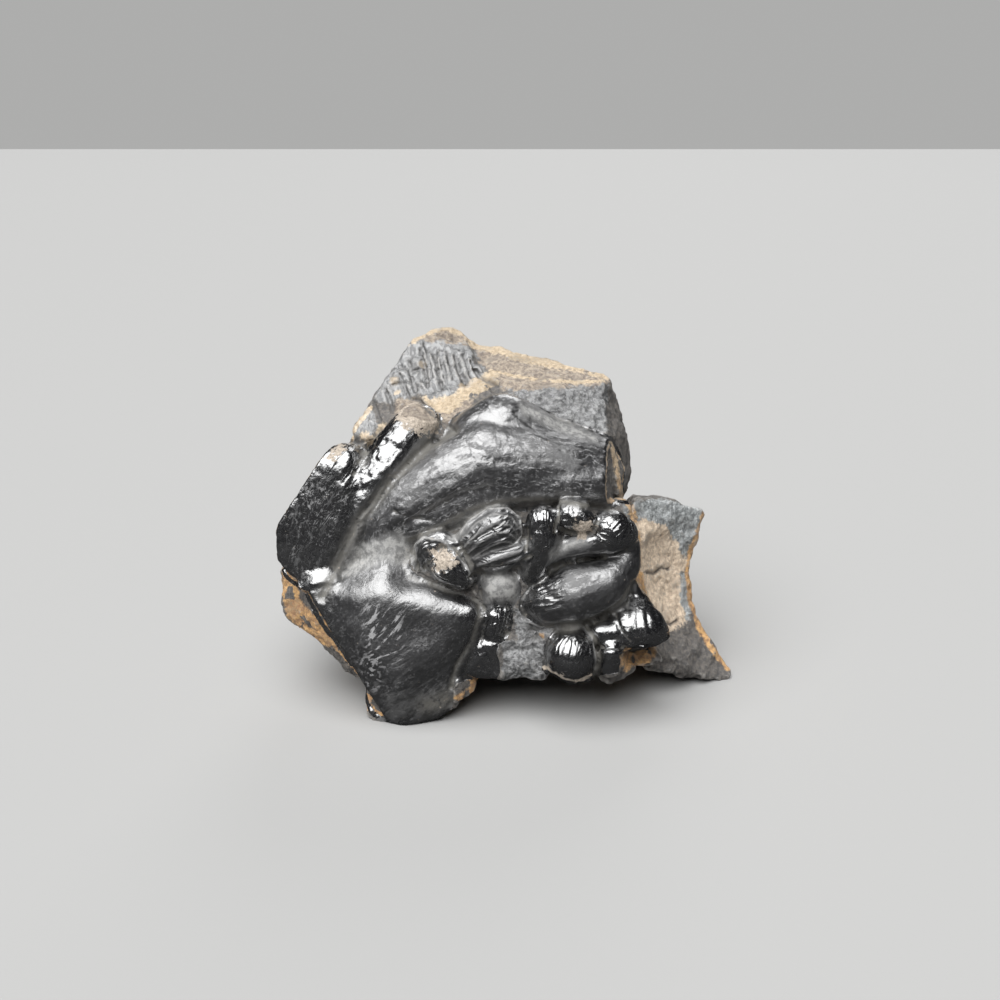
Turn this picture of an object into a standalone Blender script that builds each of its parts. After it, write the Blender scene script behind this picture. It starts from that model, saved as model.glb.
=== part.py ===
"""Rough hematite: a broken piece of botryoidal iron ore.

One solid stone. Its front is a crust that grew in soft, finger-like folds. Its top, sides and back are
broken rock. The stone leans back and rests on three points, which are ground flat here.

Forms are written on the stone's face, in millimetres: across (right), up (along the leaning face) and
out (towards the viewer). They are hulls around balls, so a form is a few balls with a radius each.
"""

import math

import bmesh
import bpy
import numpy as np
from mathutils import Matrix, Vector

# Driving dimensions
MM = 0.001
LEAN = math.radians(18)  # the face leans back this far from upright
VOXEL = 0.75  # grid on which the forms are fused
TRIANGLES = 9400
SMALL_BALL = 1.6  # balls up to this radius are corners of broken rock, and need few faces
FEW_FACES = 1
MANY_FACES = 3
CUT_REACH = 25.0  # a groove or dent works only on the face's own side, this deep at most
SOFT_ROCK = 0.3  # how far each part is softened, in mm
SOFT_SHOULDER = 1.0
SOFT_SHEET = 1.6
SOFT_FINGERS = 0.4

# Broken rock: across, up, out, radius of each ball
ROCK = {
    "block": [
        (-42, 40, -13, 1), (-42, 28, -13, 1), (-33, 17, -10, 1), (-26, 7, -8, 1), (-14, 9.4, -7, 1),
        (-3, 11, -6, 1), (26, 13, -8, 1), (27, 22, -11, 1), (25, 46, -13, 1), (22, 64, -12, 1),
        (-31, 57, -13, 1), (-12, 62, -11, 1), (-36, 50, -36, 2), (-38, 36, -38, 2), (-28, 22, -38, 2),
        (10, 22, -45, 2), (26, 28, -40, 2), (26, 50, -38, 2), (20, 66, -34, 2), (0, 70, -37, 2),
        (-20, 68, -36, 2), (-8, 45, -47, 3),
    ],
    "crest": [
        (-31.4, 59.8, -13, 0.5), (-26.6, 64.6, -14.5, 0.5), (-25.9, 68.2, -15, 0.5),
        (-22.4, 74, -18, 0.5), (-20, 79, -20, 0.5),
        (-17.4, 81.6, -22, 0.5), (-15.6, 79.3, -19, 0.5), (-7.3, 79.4, -22, 0.5),
        (-5.5, 75.6, -20, 0.5), (-3, 71, -15, 0.5), (-9.1, 65.5, -11.5, 0.5), (-14, 61, -9.5, 0.5),
        (-28, 58, -12, 1), (-26, 66, -36, 1), (-16, 78, -37, 1), (-7, 78, -38, 1),
    ],
    "back": [
        (-20, 77, -37, 1), (-6, 79.5, -38, 1), (14, 74, -37, 1), (24, 68, -34, 1), (-31, 63, -36, 1),
        (-10, 60, -45, 2), (12, 56, -45, 2), (-10, 76, -26, 1), (16, 70, -24, 1), (-30, 54, -30, 2),
        (-34, 54, -16, 1),
    ],
    "cap": [
        (-17.4, 81.4, -22.5, 0.5), (-14.9, 83.6, -25.5, 0.5), (-10.5, 83.8, -27.5, 0.5),
        (-7.9, 82.7, -28.5, 0.5), (-6, 80.8, -28, 0.5), (-6.4, 78.6, -24, 0.5), (-14, 80, -21.5, 0.5),
        (-15, 80, -36, 1), (-7, 78.5, -38, 1),
    ],
    "top": [
        (-5.8, 80.6, -28, 0.4), (0.3, 78.8, -29, 0.4), (4, 77, -29.5, 0.4), (9.7, 75.6, -29, 0.4),
        (16.9, 74.3, -26, 0.4), (24.2, 72, -18.5, 0.4), (-3.5, 70.5, -14.5, 0.4), (1.7, 68.3, -11, 0.4),
        (7.3, 67.4, -9, 0.4), (14.8, 68.6, -10.5, 0.4), (21.9, 69.8, -13.5, 0.4), (-5, 60, -10, 1),
        (21.5, 58, -8.5, 0.5), (17.5, 55, -7, 0.5), (9, 60, -7, 0.5), (-5, 62, -37, 1),
        (22, 60, -36, 1),
    ],
    "side": [
        (24.9, 68.9, -20, 0.4), (27.9, 60, -22, 0.4), (28.2, 53.5, -22, 0.4), (27.5, 47.8, -20, 0.4),
        (22.2, 69.2, -14, 0.4), (21.9, 60, -8.5, 0.4), (22.4, 53.5, -7.5, 0.4), (24.2, 47, -8, 0.4),
        (10, 50, -12, 1), (23, 66, -33, 1), (26, 46, -36, 1),
    ],
    "wing": [
        (28.8, 45.6, -13, 0.4), (37, 45, -20, 0.4), (45.4, 42.6, -26, 0.4), (44.6, 39.6, -26, 0.4),
        (43, 35, -25, 0.4), (41.7, 29.3, -24, 0.4), (30, 25, -12, 0.5), (27, 40, -12, 1),
        (31, 46, -38, 1), (39, 42, -39, 1), (40, 34, -42, 1), (38, 27, -42, 1), (28, 26, -42, 1),
    ],
    "wing foot": [
        (30, 29, -12, 0.5), (41.5, 29.3, -24, 0.4), (41.7, 23.6, -23, 0.4), (42.6, 19.4, -22, 0.4),
        (37, 14, -16, 0.5), (31, 13, -10.5, 0.5), (29.7, 17, -8, 0.5), (41, 29, -39, 1),
        (28, 30, -42, 1), (28, 15, -40, 1), (38, 18, -39, 1),
    ],
    "wing toe": [
        (42.4, 20.4, -22.5, 0.4), (45.2, 14.8, -21.8, 0.4), (48.6, 10.4, -21, 0.4), (51, 8.2, -20.5, 0.4),
        (49, 6.4, -20, 0.4), (39.2, 7.8, -16, 0.5), (30.7, 10.7, -10, 0.5), (30.4, 14.5, -8.6, 0.5),
        (46, 8.6, -30, 0.8), (40, 10, -32, 0.8), (40, 18, -36, 1), (28, 15, -38, 1),
    ],
    "back foot": [
        (-28, 26, -38, 1), (-8, 26, -44, 1), (-25, 13.4, -42.5, 0.8), (-13, 14.4, -45.5, 0.8),
        (-18, 15.2, -48.5, 0.8), (2, 22, -42, 1), (-18, 30, -30, 1), (-20, 20, -28, 1),
    ],
    "corner": [
        (-45.2, 31, -9, 0.4), (-45, 27, -9.5, 0.4), (-44.8, 22.8, -10.5, 0.4),
        (-43.2, 20.4, -10.5, 0.4), (-40.7, 18.8, -9.5, 0.4), (-35.6, 16.3, -8.5, 0.4),
        (-32.8, 13.2, -7.5, 0.4), (-29.3, 9, -6.5, 0.4), (-26, 12, -5, 0.5), (-30, 26, -4, 0.5),
        (-35, 28.5, -4, 0.4), (-39, 30, -4, 0.4), (-40, 24, -6, 0.4), (-40, 30, -30, 1),
        (-30, 16, -30, 1),
    ],
    "tip": [
        (-27.6, 8, -5, 0.4), (-26.9, 2.6, -4, 0.4), (-25, 0.2, -3, 0.4), (-20.9, -0.6, -2, 0.4),
        (-16.5, 0, -2, 0.4), (-12.1, 2, -2, 0.4), (-8.9, 4.4, -2, 0.4), (-8, 9, -2, 0.5),
        (-22, 2.6, -11, 0.8), (-15, 3.6, -12, 0.8), (-12, 12, -16, 1), (-28, 14, -16, 1),
    ],
    "splinter": [
        (-9, 5.2, -1, 0.4), (-5.2, 6.4, -3, 0.4), (-4.9, 9.4, -3, 0.4), (-5.5, 12.6, -1.5, 0.4),
        (-8.6, 13, 0.3, 0.4), (-9.4, 8, 0.5, 0.4), (-6, 9, -10, 1), (-12, 8, -10, 1),
    ],
    "saddle": [
        (-16, 66.5, -11.5, 1), (-10.5, 66.8, -11.5, 1), (-3.6, 70, -12.6, 1), (-8.5, 60.6, -6.4, 1),
        (-12.4, 62.6, -7.6, 1), (-12, 60, -5.4, 1), (-12.4, 58.2, -4.6, 1), (-1.6, 66.4, -10, 1),
        (-12, 62, -20, 2), (-1, 66, -20, 2),
    ],
    "low block": [
        (-7.4, 17.6, -1, 1), (-1, 18.4, 0.4, 1), (-0.2, 17.4, 1.2, 0.8), (-0.1, 10.6, 0, 0.8),
        (-6.2, 10.4, -1, 0.8), (-7, 14, 0.4, 0.8), (-3, 14, -8, 2),
    ],
    "grainy block": [
        (0.4, 16.6, 0.2, 0.8), (8.6, 16.6, -0.2, 0.8), (8.8, 10.2, -1.2, 0.8), (0.4, 10.2, -1.2, 0.8),
        (4.4, 12.6, 0.4, 1), (4.4, 13.6, -8, 2),
    ],
    "recess": [
        (23, 16, -3, 0.6), (31.6, 16, -5, 0.6), (33, 12.8, -6, 0.6), (28.4, 12, -5.6, 0.6),
        (22.6, 11.4, -4, 0.6), (28, 16, -14, 1),
    ],
    "lip": [
        (0.6, 17.4, 1, 0.8), (5, 17.2, 1.4, 0.8), (10, 17.8, 1.2, 0.8), (11.4, 19.2, 1, 0.8),
        (4, 19, 1, 0.8), (5, 17, -5, 2),
    ],
    "matrix": [
        (2.4, 23.4, 0.6, 0.6), (5.6, 25, 0.8, 0.6), (9.6, 23.6, 2, 0.6), (11.6, 20.8, 1.6, 0.6),
        (9, 18.4, 1.6, 0.6), (2, 18.2, 1, 0.6), (6, 21.6, 2.2, 0.6), (5, 21, -8, 2),
    ],
    "base": [
        (-5, 42, -4, 3), (24, 43, -6, 3), (25.5, 18, -3.5, 2.5), (24, 12, -5, 1.5), (-3, 12, -4, 1.5),
        (8, 26, -1.4, 3), (0, 30, -1.4, 3), (4, 18, -1.4, 2.5), (22, 28, -2.6, 3), (8, 38, -1.4, 3),
        (-9, 40.4, -2.4, 3.2), (-16.6, 31.6, -0.6, 3), (-11, 29.6, -0.4, 3), (-6, 28.6, -0.4, 3),
        (-4, 24, -2, 2.6), (18, 20, -1.6, 2.4), (18.6, 14, -1.4, 3), (18, 37, -1.6, 3), (-4, 34, -2.4, 3),
        (8, 43, -2, 3),
    ],
}

# Hollows broken out of the rock: across, up, out, radius of the ball that is pushed in
SCOOPS = [
    (56, 31, 2.5, 30.5), (58, 20, 0, 25), (-13, 96, 0, 26), (13, 86, 4, 21.5), (-26, 62, -67, 30),
    (8, 74, -70, 34), (36, 52, -64, 27), (-52, 44, -54, 24), (-6, 40, -86, 38), (24, 24, -76, 34),
    (-36, 12, -58, 23), (8, 2, -56, 26), (-62, 52, -30, 25), (-58, 22, -32, 18), (46, 62, -34, 20),
    (52, 26, -52, 20), (2, -8, -26, 23),
]

# The crust's rounded folds, one chain of balls each
SHOULDER = {
    "outer finger": [
        (-31, 52.8, -5.4, 4.6), (-33.5, 49.5, -8.4, 5.4), (-36.5, 43, -8.4, 6.2), (-37.8, 36.5, -8.4, 6.4),
        (-38.2, 31.5, -8, 5.4),
    ],
    "inner finger": [
        (-16.6, 61.6, -5, 4.4), (-19.6, 57.4, -4, 5), (-23.2, 51.3, -3.6, 5.8), (-27.2, 45.4, -4.2, 6.2),
        (-31, 39, -5.4, 6.6), (-34.5, 32.5, -6, 6),
    ],
}
SHOULDER_WEBS = [
    [
        (-31, 51.8, -2.4, 5), (-28.8, 50.2, -2.2, 4.2), (-44, 53, -1.6, 3), (-45.4, 38, -2.4, 3),
        (-45.4, 31, -4, 3), (-31, 43, -1.8, 3.6), (-33, 36.6, -2.4, 3.6), (-36, 32.6, -3.2, 3.4),
        (-36, 40, -10, 6), (-36, 34, -10, 5),
    ],
    [
        (-41.4, 32.2, -1.8, 1), (-34.6, 33.2, -1.4, 1), (-32.6, 29.4, 0.6, 1.2), (-40.2, 28.2, 0.2, 1),
        (-39, 26, -2, 1), (-33, 26, -1, 1.4), (-37, 26, -6, 2), (-36, 32, -8, 2),
    ],
]
SHEET = {
    "fold": [
        (-22.5, 41, -4, 6.3), (-18, 44.8, -3, 7), (-9.5, 49.6, -3, 8.6), (-2.5, 52.8, -3.5, 9.6),
        (4, 52, -4.4, 9.6), (12, 51.4, -5.4, 8.8), (18, 51.2, -7, 7.8), (24, 51, -8.4, 7.2),
    ],
    "hump": [(-4, 57.5, -5.4, 7.2), (0.5, 60, -6, 7.6), (9.8, 56, -7.4, 6.8), (18, 54, -9.4, 6)],
    "neck": [(-22.5, 41, -4, 6.3), (-22.6, 36, -4.6, 6.5), (-22.4, 30, -5, 6.4)],
    "skirt": [
        (-17, 41, -1.4, 4), (-11.6, 43.2, -0.6, 4.2), (-5.6, 46, -0.4, 4.4), (0.4, 48.2, -0.2, 4.6),
        (7, 49, -0.4, 4.6), (14, 49, -1, 4.6), (21, 48.6, -3, 4.6),
    ],
}
SHEET_WEBS = [
    [
        (-29, 24.6, -0.6, 5), (-35.4, 21.8, -2.4, 2.4), (-31.4, 15.2, -2.8, 2.4), (-24.2, 4, -3, 2.4),
        (-19, 1.4, -3, 2.6), (-12.4, 4.2, -3, 2.4), (-7.2, 14, -2, 2.6), (-5.6, 20.4, 0, 2.8),
        (-6.4, 22.4, 1.4, 3.6), (-13.7, 23.2, 0.4, 5.4), (-22.6, 26.2, 0, 6), (-18.6, 20, 0.8, 4.8),
        (-20, 12, 0, 4.6), (-25, 18, 0.2, 4.6),
    ],
    [
        (-40.4, 28, -0.8, 1.6), (-37.4, 22.4, -1.4, 1.6), (-34.4, 17, -1.8, 1.6), (-31, 27, 0.4, 2),
        (-29.6, 20, 0.8, 2), (-28, 14, 0.2, 2), (-34, 24, -8, 2),
    ],
    [
        (-22.4, 33.6, -5.2, 5.4), (-28.4, 30, -5, 4.2), (-29, 24.6, -0.6, 5), (-22.6, 26.2, 0, 6),
        (-17, 31, -3.6, 4.2),
    ],
]
FINGERS = {
    "hook": [
        (-15.3, 33.8, 1.5, 2.2), (-14.4, 36.7, 2.2, 2.3), (-11.6, 37.4, 2.8, 2.4), (-8.6, 35.8, 3.2, 2.4),
        (-6.6, 33, 2.6, 2), (-5.6, 30.4, 2.4, 1.6),
    ],
    "hook tip": [(-12.2, 34.1, 3, 2.6), (-10, 32.4, 4.2, 3.7), (-7.6, 30.8, 4, 2.9)],
    "wrinkled": [(-6.8, 36, 2.2, 3), (-3.8, 38.2, 3.2, 4.1), (-0.4, 40, 3.8, 4.3), (0.8, 40.6, 3.4, 3.6)],
    "wrinkled foot": [(-5, 34.2, 2.8, 2.5), (-1, 34, 3.8, 2.9), (3, 35.2, 3.6, 2.9), (4.8, 36, 2.8, 2.4)],
    "bulb": [(8.4, 41.2, 4.8, 3.4), (8.6, 37.8, 4.4, 3.3), (7.6, 34.4, 3.2, 3.1), (6.6, 31.6, 1.6, 2.6)],
    "stub": [(12.4, 42.5, 5, 2.5), (14.6, 42.6, 5.6, 2.8), (16.6, 41, 5.2, 2.5)],
    "stub crest": [(13, 44.3, 3.4, 1.7), (16.2, 44.3, 3, 1.7)],
    "stub root": [(12.6, 39.8, 2, 2.5), (16.4, 39.6, 2, 2.5)],
    "loop": [
        (9.6, 34.6, 1.8, 2.4), (12.4, 36, 2.6, 2.8), (15.8, 36.8, 3.1, 2.9), (19.4, 38, 3.4, 3.4),
        (21.6, 39.4, 3.2, 4.4), (24, 38.8, 1, 3.6),
    ],
    "thumb": [
        (25.4, 36.6, -1, 2.8), (24.6, 32.8, 0, 3.6), (20.8, 28.6, 1.2, 5.4), (15.2, 26.9, 1.9, 6),
        (10.2, 25.4, 1, 4.9), (6.8, 24.6, -0.4, 3.4),
    ],
    "knob": [(0, 28.4, 0.6, 4.1), (-0.2, 25.4, -0.6, 3.4), (-0.6, 22.4, 0.4, 3.2), (-1.2, 19.8, -0.2, 3)],
    "glossy bead": [(14, 15, 2.8, 5), (14.4, 17, 1.6, 3.9)],
    "glossy lip": [(10.8, 12.6, 0, 2), (14.2, 11, 0.4, 2.2), (17.2, 11.3, 0.2, 2.1), (18.6, 13, -0.4, 2)],
    "barrel": [(19.8, 19.2, 1.8, 2.5), (22.8, 19.4, 1.8, 2.4)],
    "small bead": [(22, 15.6, 3.4, 2.4), (21.8, 12.6, 2, 2.3), (22.6, 13, -2, 3)],
    "sliver": [(26.2, 29, -1.6, 1.4), (28, 25.8, -2, 1.6)],
    "ledge": [(21.8, 10.6, -0.6, 1.9), (26.4, 11.8, -3.6, 1.6)],
}
FINGER_WEBS = [
    [
        (-6, 16.4, -0.8, 1.8), (-1.7, 16.8, 0, 1.8), (-6, 11.8, -1.2, 1.8), (-1.6, 11.6, -0.8, 1.8),
        (-3.8, 14.4, 0.2, 1.8),
    ],
]
SHELL = {
    "shell": [(25.6, 19.6, -0.6, 5.2), (28, 19.4, -1, 5.6), (31.6, 17.8, -2, 3)],
    "shell root": [(27.6, 20, -0.8, 5.2), (27, 24.5, -4, 3.5)],
}

# Where the crust broke off: a point on the face, and the way the broken side looks
SHOULDER_CUTS = [
    ((-32, 60, -10), (-0.76, 0.6, -0.1)),
    ((-37.5, 51, -8), (-0.82, 0.55, 0.0)),
    ((-42.6, 45, -7), (-0.93, 0.36, 0.0)),
    ((-44.7, 36, -6), (-1.0, -0.02, 0.0)),
    ((-43.8, 32.2, -3), (-0.83, -0.555, 0.05)),
    ((-38, 26.2, -4), (-0.25, -0.95, 0.15)),
    ((-19, 62.8, -2.2), (-0.2, 0.8, 0.56)),
    ((-15.6, 62.2, -2), (0.35, 0.75, 0.55)),
    ((-17, 62.2, -0.6), (0.05, 0.6, 0.8)),
]
SHEET_CUTS = [
    ((22.6, 52, -6), (0.97, 0.03, 0.24)),
    ((-33.6, 19, -3), (-0.857, -0.515, 0.05)),
    ((-18, 0.4, -1), (0.1, -0.99, 0.0)),
    ((-10.4, 4.2, -1), (0.62, -0.78, 0.05)),
]
SHELL_CUTS = [
    ((28, 17.7, -1), (0.06, -0.95, -0.3)),
]
STUB_BREAK = ((17.2, 40, 7), (0.5, -0.7, 0.5), 2.6)

# Creases between the folds: width, depth, then the points along it
GROOVES = {
    "shoulder crease": (
        0.9, 0.5, [
            (-9.3, 59.6), (-14.4, 56.3), (-20.4, 50.8), (-24.2, 46), (-28, 41.4), (-30.6, 36.4),
            (-33.4, 30.6), (-35.4, 26.4),
        ]),
    "shoulder valley": (1.3, 0.9, [(-26.6, 57.6), (-27.6, 54), (-29, 51)]),
    "paddle rim": (
        0.6, 0.6, [
            (-17.2, 35.2), (-16.6, 31.8), (-13.6, 29.6), (-10.4, 28.4), (-6.4, 27.4), (-4.2, 25.6),
        ]),
    "paddle side": (0.6, 0.7, [(-4.2, 27.4), (-3.7, 23.2), (-5.2, 17.8), (-8.4, 12.8), (-9.8, 8)]),
    "hook ring": (0.5, 0.6, [(-15.2, 31.6), (-13.8, 34.2), (-11.4, 36.4), (-8.8, 36.2), (-6.6, 33.6)]),
    "fold roll": (0.8, 0.4, [(-19, 40.6), (-14, 43.2), (-8.2, 46.4), (-2.4, 48)]),
    "bead seam": (0.5, 0.5, [(17.2, 20.2), (18.6, 18.4), (19.3, 14.6), (19, 10.4)]),
    "under the wrinkled finger": (0.5, 1.0, [(-5.6, 30.6), (-3.6, 31.9), (0, 32.3), (4, 33), (5.6, 34.6)]),
    "wrinkled and bulb": (0.4, 0.5, [(5.8, 43.4), (5.2, 39.6), (5, 35.6)]),
    "bulb and stub": (0.4, 0.7, [(11.2, 44.6), (11.2, 41.4), (11, 39.4)]),
    "under the stub": (0.4, 0.5, [(11.6, 40), (13.4, 39.5), (15.4, 38.9), (18, 39.2), (19, 41.4)]),
    "hook and wrinkled": (0.45, 0.7, [(-7.8, 36.6), (-6.2, 34), (-5.2, 31.6)]),
    "bead barrel seam": (0.4, 0.5, [(19.4, 16.6), (22, 17), (24.6, 16.6)]),
    "barrel shell seam": (0.4, 0.4, [(22.9, 23), (23.3, 21), (24.2, 19.2), (25.6, 17.8)]),
    "thumb crease": (
        0.7, 0.8, [
            (5.6, 19.8), (10.4, 20.2), (15, 20.8), (20, 22.4), (24, 25.4), (26.4, 29),
        ]),
    "slit": (0.5, 0.6, [(9.6, 32), (13, 33.6), (16.8, 34.4), (20.6, 34.4)]),
}

# Shallow hollows: across, up, radius, depth
DENTS = [
    (-18, 30, 4.5, 0.9), (-16.4, 20, 4.5, 0.7), (6.6, 18.4, 2.2, 1.4), (-31, 24, 3, 0.8),
    (-22, 37, 3.5, 0.5), (4.6, 22, 2.6, 0.6), (28.5, 15, 3, 1.2), (-40.6, 29, 3, 0.9),
    (12.5, 60, 4, 0.5),
]

# Striations and cracks of the crest facet: width, depth, then the points along it
STRIAE = [
    (0.5, 1.0, [(-17.2, 78.4), (-15.4, 70)]),
    (0.35, 0.5, [(-15.9, 78), (-14.6, 72)]),
    (0.6, 1.2, [(-14.2, 77.6), (-12.4, 69.4)]),
    (0.35, 0.7, [(-12.8, 76.6), (-11.4, 70.6)]),
    (0.45, 0.6, [(-11.4, 78), (-9.8, 71.6)]),
    (0.55, 1.1, [(-9.6, 77), (-8.8, 73.4), (-7, 70)]),
    (0.4, 0.7, [(-7.8, 77), (-6, 72)]),
    (0.35, 0.5, [(-6.2, 75.6), (-4.6, 72)]),
    (0.5, 0.8, [(-19.8, 75.4), (-18, 69)]),
    (0.35, 0.6, [(-21.6, 72.6), (-19.4, 67.4)]),
    (0.5, 0.9, [(-24.6, 69.6), (-22.6, 64.4)]),
    (0.4, 0.6, [(-27, 66.6), (-25.4, 62.4)]),
    (0.4, 0.5, [(-21.6, 74.4), (-18.6, 73.4), (-15.8, 74.2)]),
    (0.35, 0.5, [(-23, 70.4), (-19.4, 70.8), (-16.6, 69.6)]),
]

# Broken rock's roughness: scale and height of the coarse and the fine one
HACKLE = ((5.5, 1.5), (2.2, 0.55))


def face_frame():
    """The matrix from the stone's face, in mm, to the world, in metres."""
    across = Vector((1, 0, 0))
    up = Vector((0, math.sin(LEAN), math.cos(LEAN)))
    out = Vector((0, -math.cos(LEAN), math.sin(LEAN)))
    turn = Matrix((across, up, out)).transposed().to_4x4()
    return turn @ Matrix.Scale(MM, 4)


FACE = face_frame()


def ball_hull(target, balls):
    """Add the hull around a few balls to a bmesh."""
    bm = bmesh.new()
    for across, up, out, radius in balls:
        level = FEW_FACES if radius <= SMALL_BALL else MANY_FACES
        place = Matrix.Translation((across, up, out))
        bmesh.ops.create_icosphere(bm, subdivisions=level, radius=radius, matrix=place)
    made = bmesh.ops.convex_hull(bm, input=bm.verts)
    inner = {part for part in made["geom_interior"] if isinstance(part, bmesh.types.BMVert)}
    bmesh.ops.delete(bm, geom=list(inner), context="VERTS")
    bmesh.ops.recalc_face_normals(bm, faces=bm.faces)
    mesh = bpy.data.meshes.new("hull")
    bm.to_mesh(mesh)
    bm.free()
    target.from_mesh(mesh)
    bpy.data.meshes.remove(mesh)


def chains(groups):
    """Each chain of balls as a bent, tapering finger."""
    bm = bmesh.new()
    for balls in groups.values():
        for first, second in zip(balls, balls[1:]):
            ball_hull(bm, [first, second])
    return bm


def as_object(name, bm):
    mesh = bpy.data.meshes.new(name)
    bm.to_mesh(mesh)
    bm.free()
    made = bpy.data.objects.new(name, mesh)
    bpy.context.scene.collection.objects.link(made)
    return made


def apply_modifiers(made):
    graph = bpy.context.evaluated_depsgraph_get()
    mesh = bpy.data.meshes.new_from_object(made.evaluated_get(graph))
    old = made.data
    made.modifiers.clear()
    made.data = mesh
    bpy.data.meshes.remove(old)


def fuse(made, soften):
    """Fuse overlapping hulls to one skin, and soften it over about that many mm."""
    remesh = made.modifiers.new("Fuse", "REMESH")
    remesh.mode = "VOXEL"
    remesh.voxel_size = VOXEL
    smooth = made.modifiers.new("Soften", "SMOOTH")
    smooth.factor = 0.5
    smooth.iterations = max(1, round(2 * (soften / VOXEL) ** 2))
    apply_modifiers(made)


def cut(made, planes):
    """Break the solid off along planes and close the breaks."""
    bm = bmesh.new()
    bm.from_mesh(made.data)
    for point, normal in planes:
        geom = bm.verts[:] + bm.edges[:] + bm.faces[:]
        split = bmesh.ops.bisect_plane(
            bm, geom=geom, dist=0.0001, plane_co=point, plane_no=normal, clear_outer=True)
        rim = [part for part in split["geom_cut"] if isinstance(part, bmesh.types.BMEdge)]
        bmesh.ops.holes_fill(bm, edges=rim, sides=0)
    bmesh.ops.triangulate(bm, faces=[face for face in bm.faces if len(face.verts) > 4])
    bm.to_mesh(made.data)
    bm.free()


def points_of(made):
    points = np.empty(len(made.data.vertices) * 3)
    made.data.vertices.foreach_get("co", points)
    return points.reshape(-1, 3)


def normals_of(made):
    normals = np.empty(len(made.data.vertices) * 3)
    made.data.vertices.foreach_get("normal", normals)
    return normals.reshape(-1, 3)


def move_points(made, points):
    made.data.vertices.foreach_set("co", points.ravel())
    made.data.update()


def scoop(made, balls):
    """Push the surface out of each ball, as a shell-like break leaves it."""
    points = points_of(made)
    for across, up, out, radius in balls:
        away = points - (across, up, out)
        reach = np.linalg.norm(away, axis=1)
        inside = reach < radius
        points[inside] += away[inside] * (radius / reach[inside] - 1)[:, None]
    move_points(made, points)


def hackle(made):
    """Roughen broken rock with cells and grain."""
    for (scale, height), kind in zip(HACKLE, ("VORONOI", "CLOUDS")):
        texture = bpy.data.textures.new("Hackle " + kind.lower(), kind)
        texture.noise_scale = scale
        rough = made.modifiers.new("Hackle", "DISPLACE")
        rough.texture = texture
        rough.texture_coords = "LOCAL"
        rough.strength = height
        rough.mid_level = 0.5
    apply_modifiers(made)


def distance_to_line(points, line):
    """How far each point is from a bent line on the face."""
    nearest = np.full(len(points), 1e9)
    flat = points[:, :2]
    for start, end in zip(line, line[1:]):
        start = np.array(start)
        along = np.array(end) - start
        share = np.clip((flat - start) @ along / (along @ along), 0, 1)
        nearest = np.minimum(nearest, np.linalg.norm(flat - start - share[:, None] * along, axis=1))
    return nearest


def press(made):
    """Press the creases, hollows and striations into the face."""
    points = points_of(made)
    normals = normals_of(made)
    near = (points[:, 2] > -CUT_REACH) & (normals[:, 2] > 0)
    sink = np.zeros(len(points))
    for width, depth, line in GROOVES.values():
        sink = np.maximum(sink, depth * np.exp(-(distance_to_line(points, line) / width) ** 2))
    for across, up, radius, depth in DENTS:
        away = np.linalg.norm(points[:, :2] - (across, up), axis=1)
        sink += depth * np.exp(-(away / radius) ** 2 * 1.5)
    for width, depth, line in STRIAE:
        sink = np.maximum(sink, depth * np.exp(-(distance_to_line(points, line) / width) ** 2))
    points -= normals * (sink * near)[:, None]
    move_points(made, points)


def join(name, pieces):
    bm = bmesh.new()
    for piece in pieces:
        bm.from_mesh(piece.data)
        bpy.data.objects.remove(piece)
    return as_object(name, bm)


def make_rock():
    bm = bmesh.new()
    for balls in ROCK.values():
        ball_hull(bm, balls)
    rock = as_object("rock", bm)
    fuse(rock, SOFT_ROCK)
    scoop(rock, SCOOPS)
    fuse(rock, SOFT_ROCK)
    hackle(rock)
    return rock


def make_folds(name, groups, webs, planes, soften):
    """One sheet of crust: its chains and webs, softened, then broken off."""
    bm = chains(groups)
    for balls in webs:
        ball_hull(bm, balls)
    folds = as_object(name, bm)
    fuse(folds, soften)
    cut(folds, planes)
    return folds


def break_stub(made):
    """Break the end off the short finger, a flat chip."""
    point, normal, radius = STUB_BREAK
    points = points_of(made)
    normal = Vector(normal).normalized()
    height = (points - point) @ np.array(normal)
    near = np.linalg.norm(points - point, axis=1) < radius
    points -= np.array(normal) * (np.clip(height, 0, None) * near)[:, None]
    move_points(made, points)


def stand(made):
    """Set the stone on the floor, its feet ground flat, centred over its own box."""
    made.data.transform(FACE)
    bm = bmesh.new()
    bm.from_mesh(made.data)
    geom = bm.verts[:] + bm.edges[:] + bm.faces[:]
    split = bmesh.ops.bisect_plane(
        bm, geom=geom, dist=1e-7, plane_co=(0, 0, 0), plane_no=(0, 0, -1), clear_outer=True)
    rim = [part for part in split["geom_cut"] if isinstance(part, bmesh.types.BMEdge)]
    bmesh.ops.holes_fill(bm, edges=rim, sides=0)
    bmesh.ops.triangulate(bm, faces=bm.faces)
    bm.to_mesh(made.data)
    bm.free()
    points = points_of(made)
    middle = (points.min(axis=0) + points.max(axis=0)) / 2
    made.data.transform(Matrix.Translation((-middle[0], -middle[1], 0)))


def thin_out(made, count):
    """Fewer, larger faces where the stone is plain."""
    made.data.calc_loop_triangles()
    thin = made.modifiers.new("Thin out", "DECIMATE")
    thin.ratio = count / len(made.data.loop_triangles)
    thin.use_collapse_triangulate = True
    apply_modifiers(made)


def hematite_material():
    material = bpy.data.materials.new("Hematite")
    material.use_nodes = True
    surface = material.node_tree.nodes["Principled BSDF"]
    surface.inputs["Base Color"].default_value = (0.035, 0.036, 0.04, 1)
    surface.inputs["Roughness"].default_value = 0.35
    surface.inputs["Metallic"].default_value = 0.3
    return material


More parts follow.
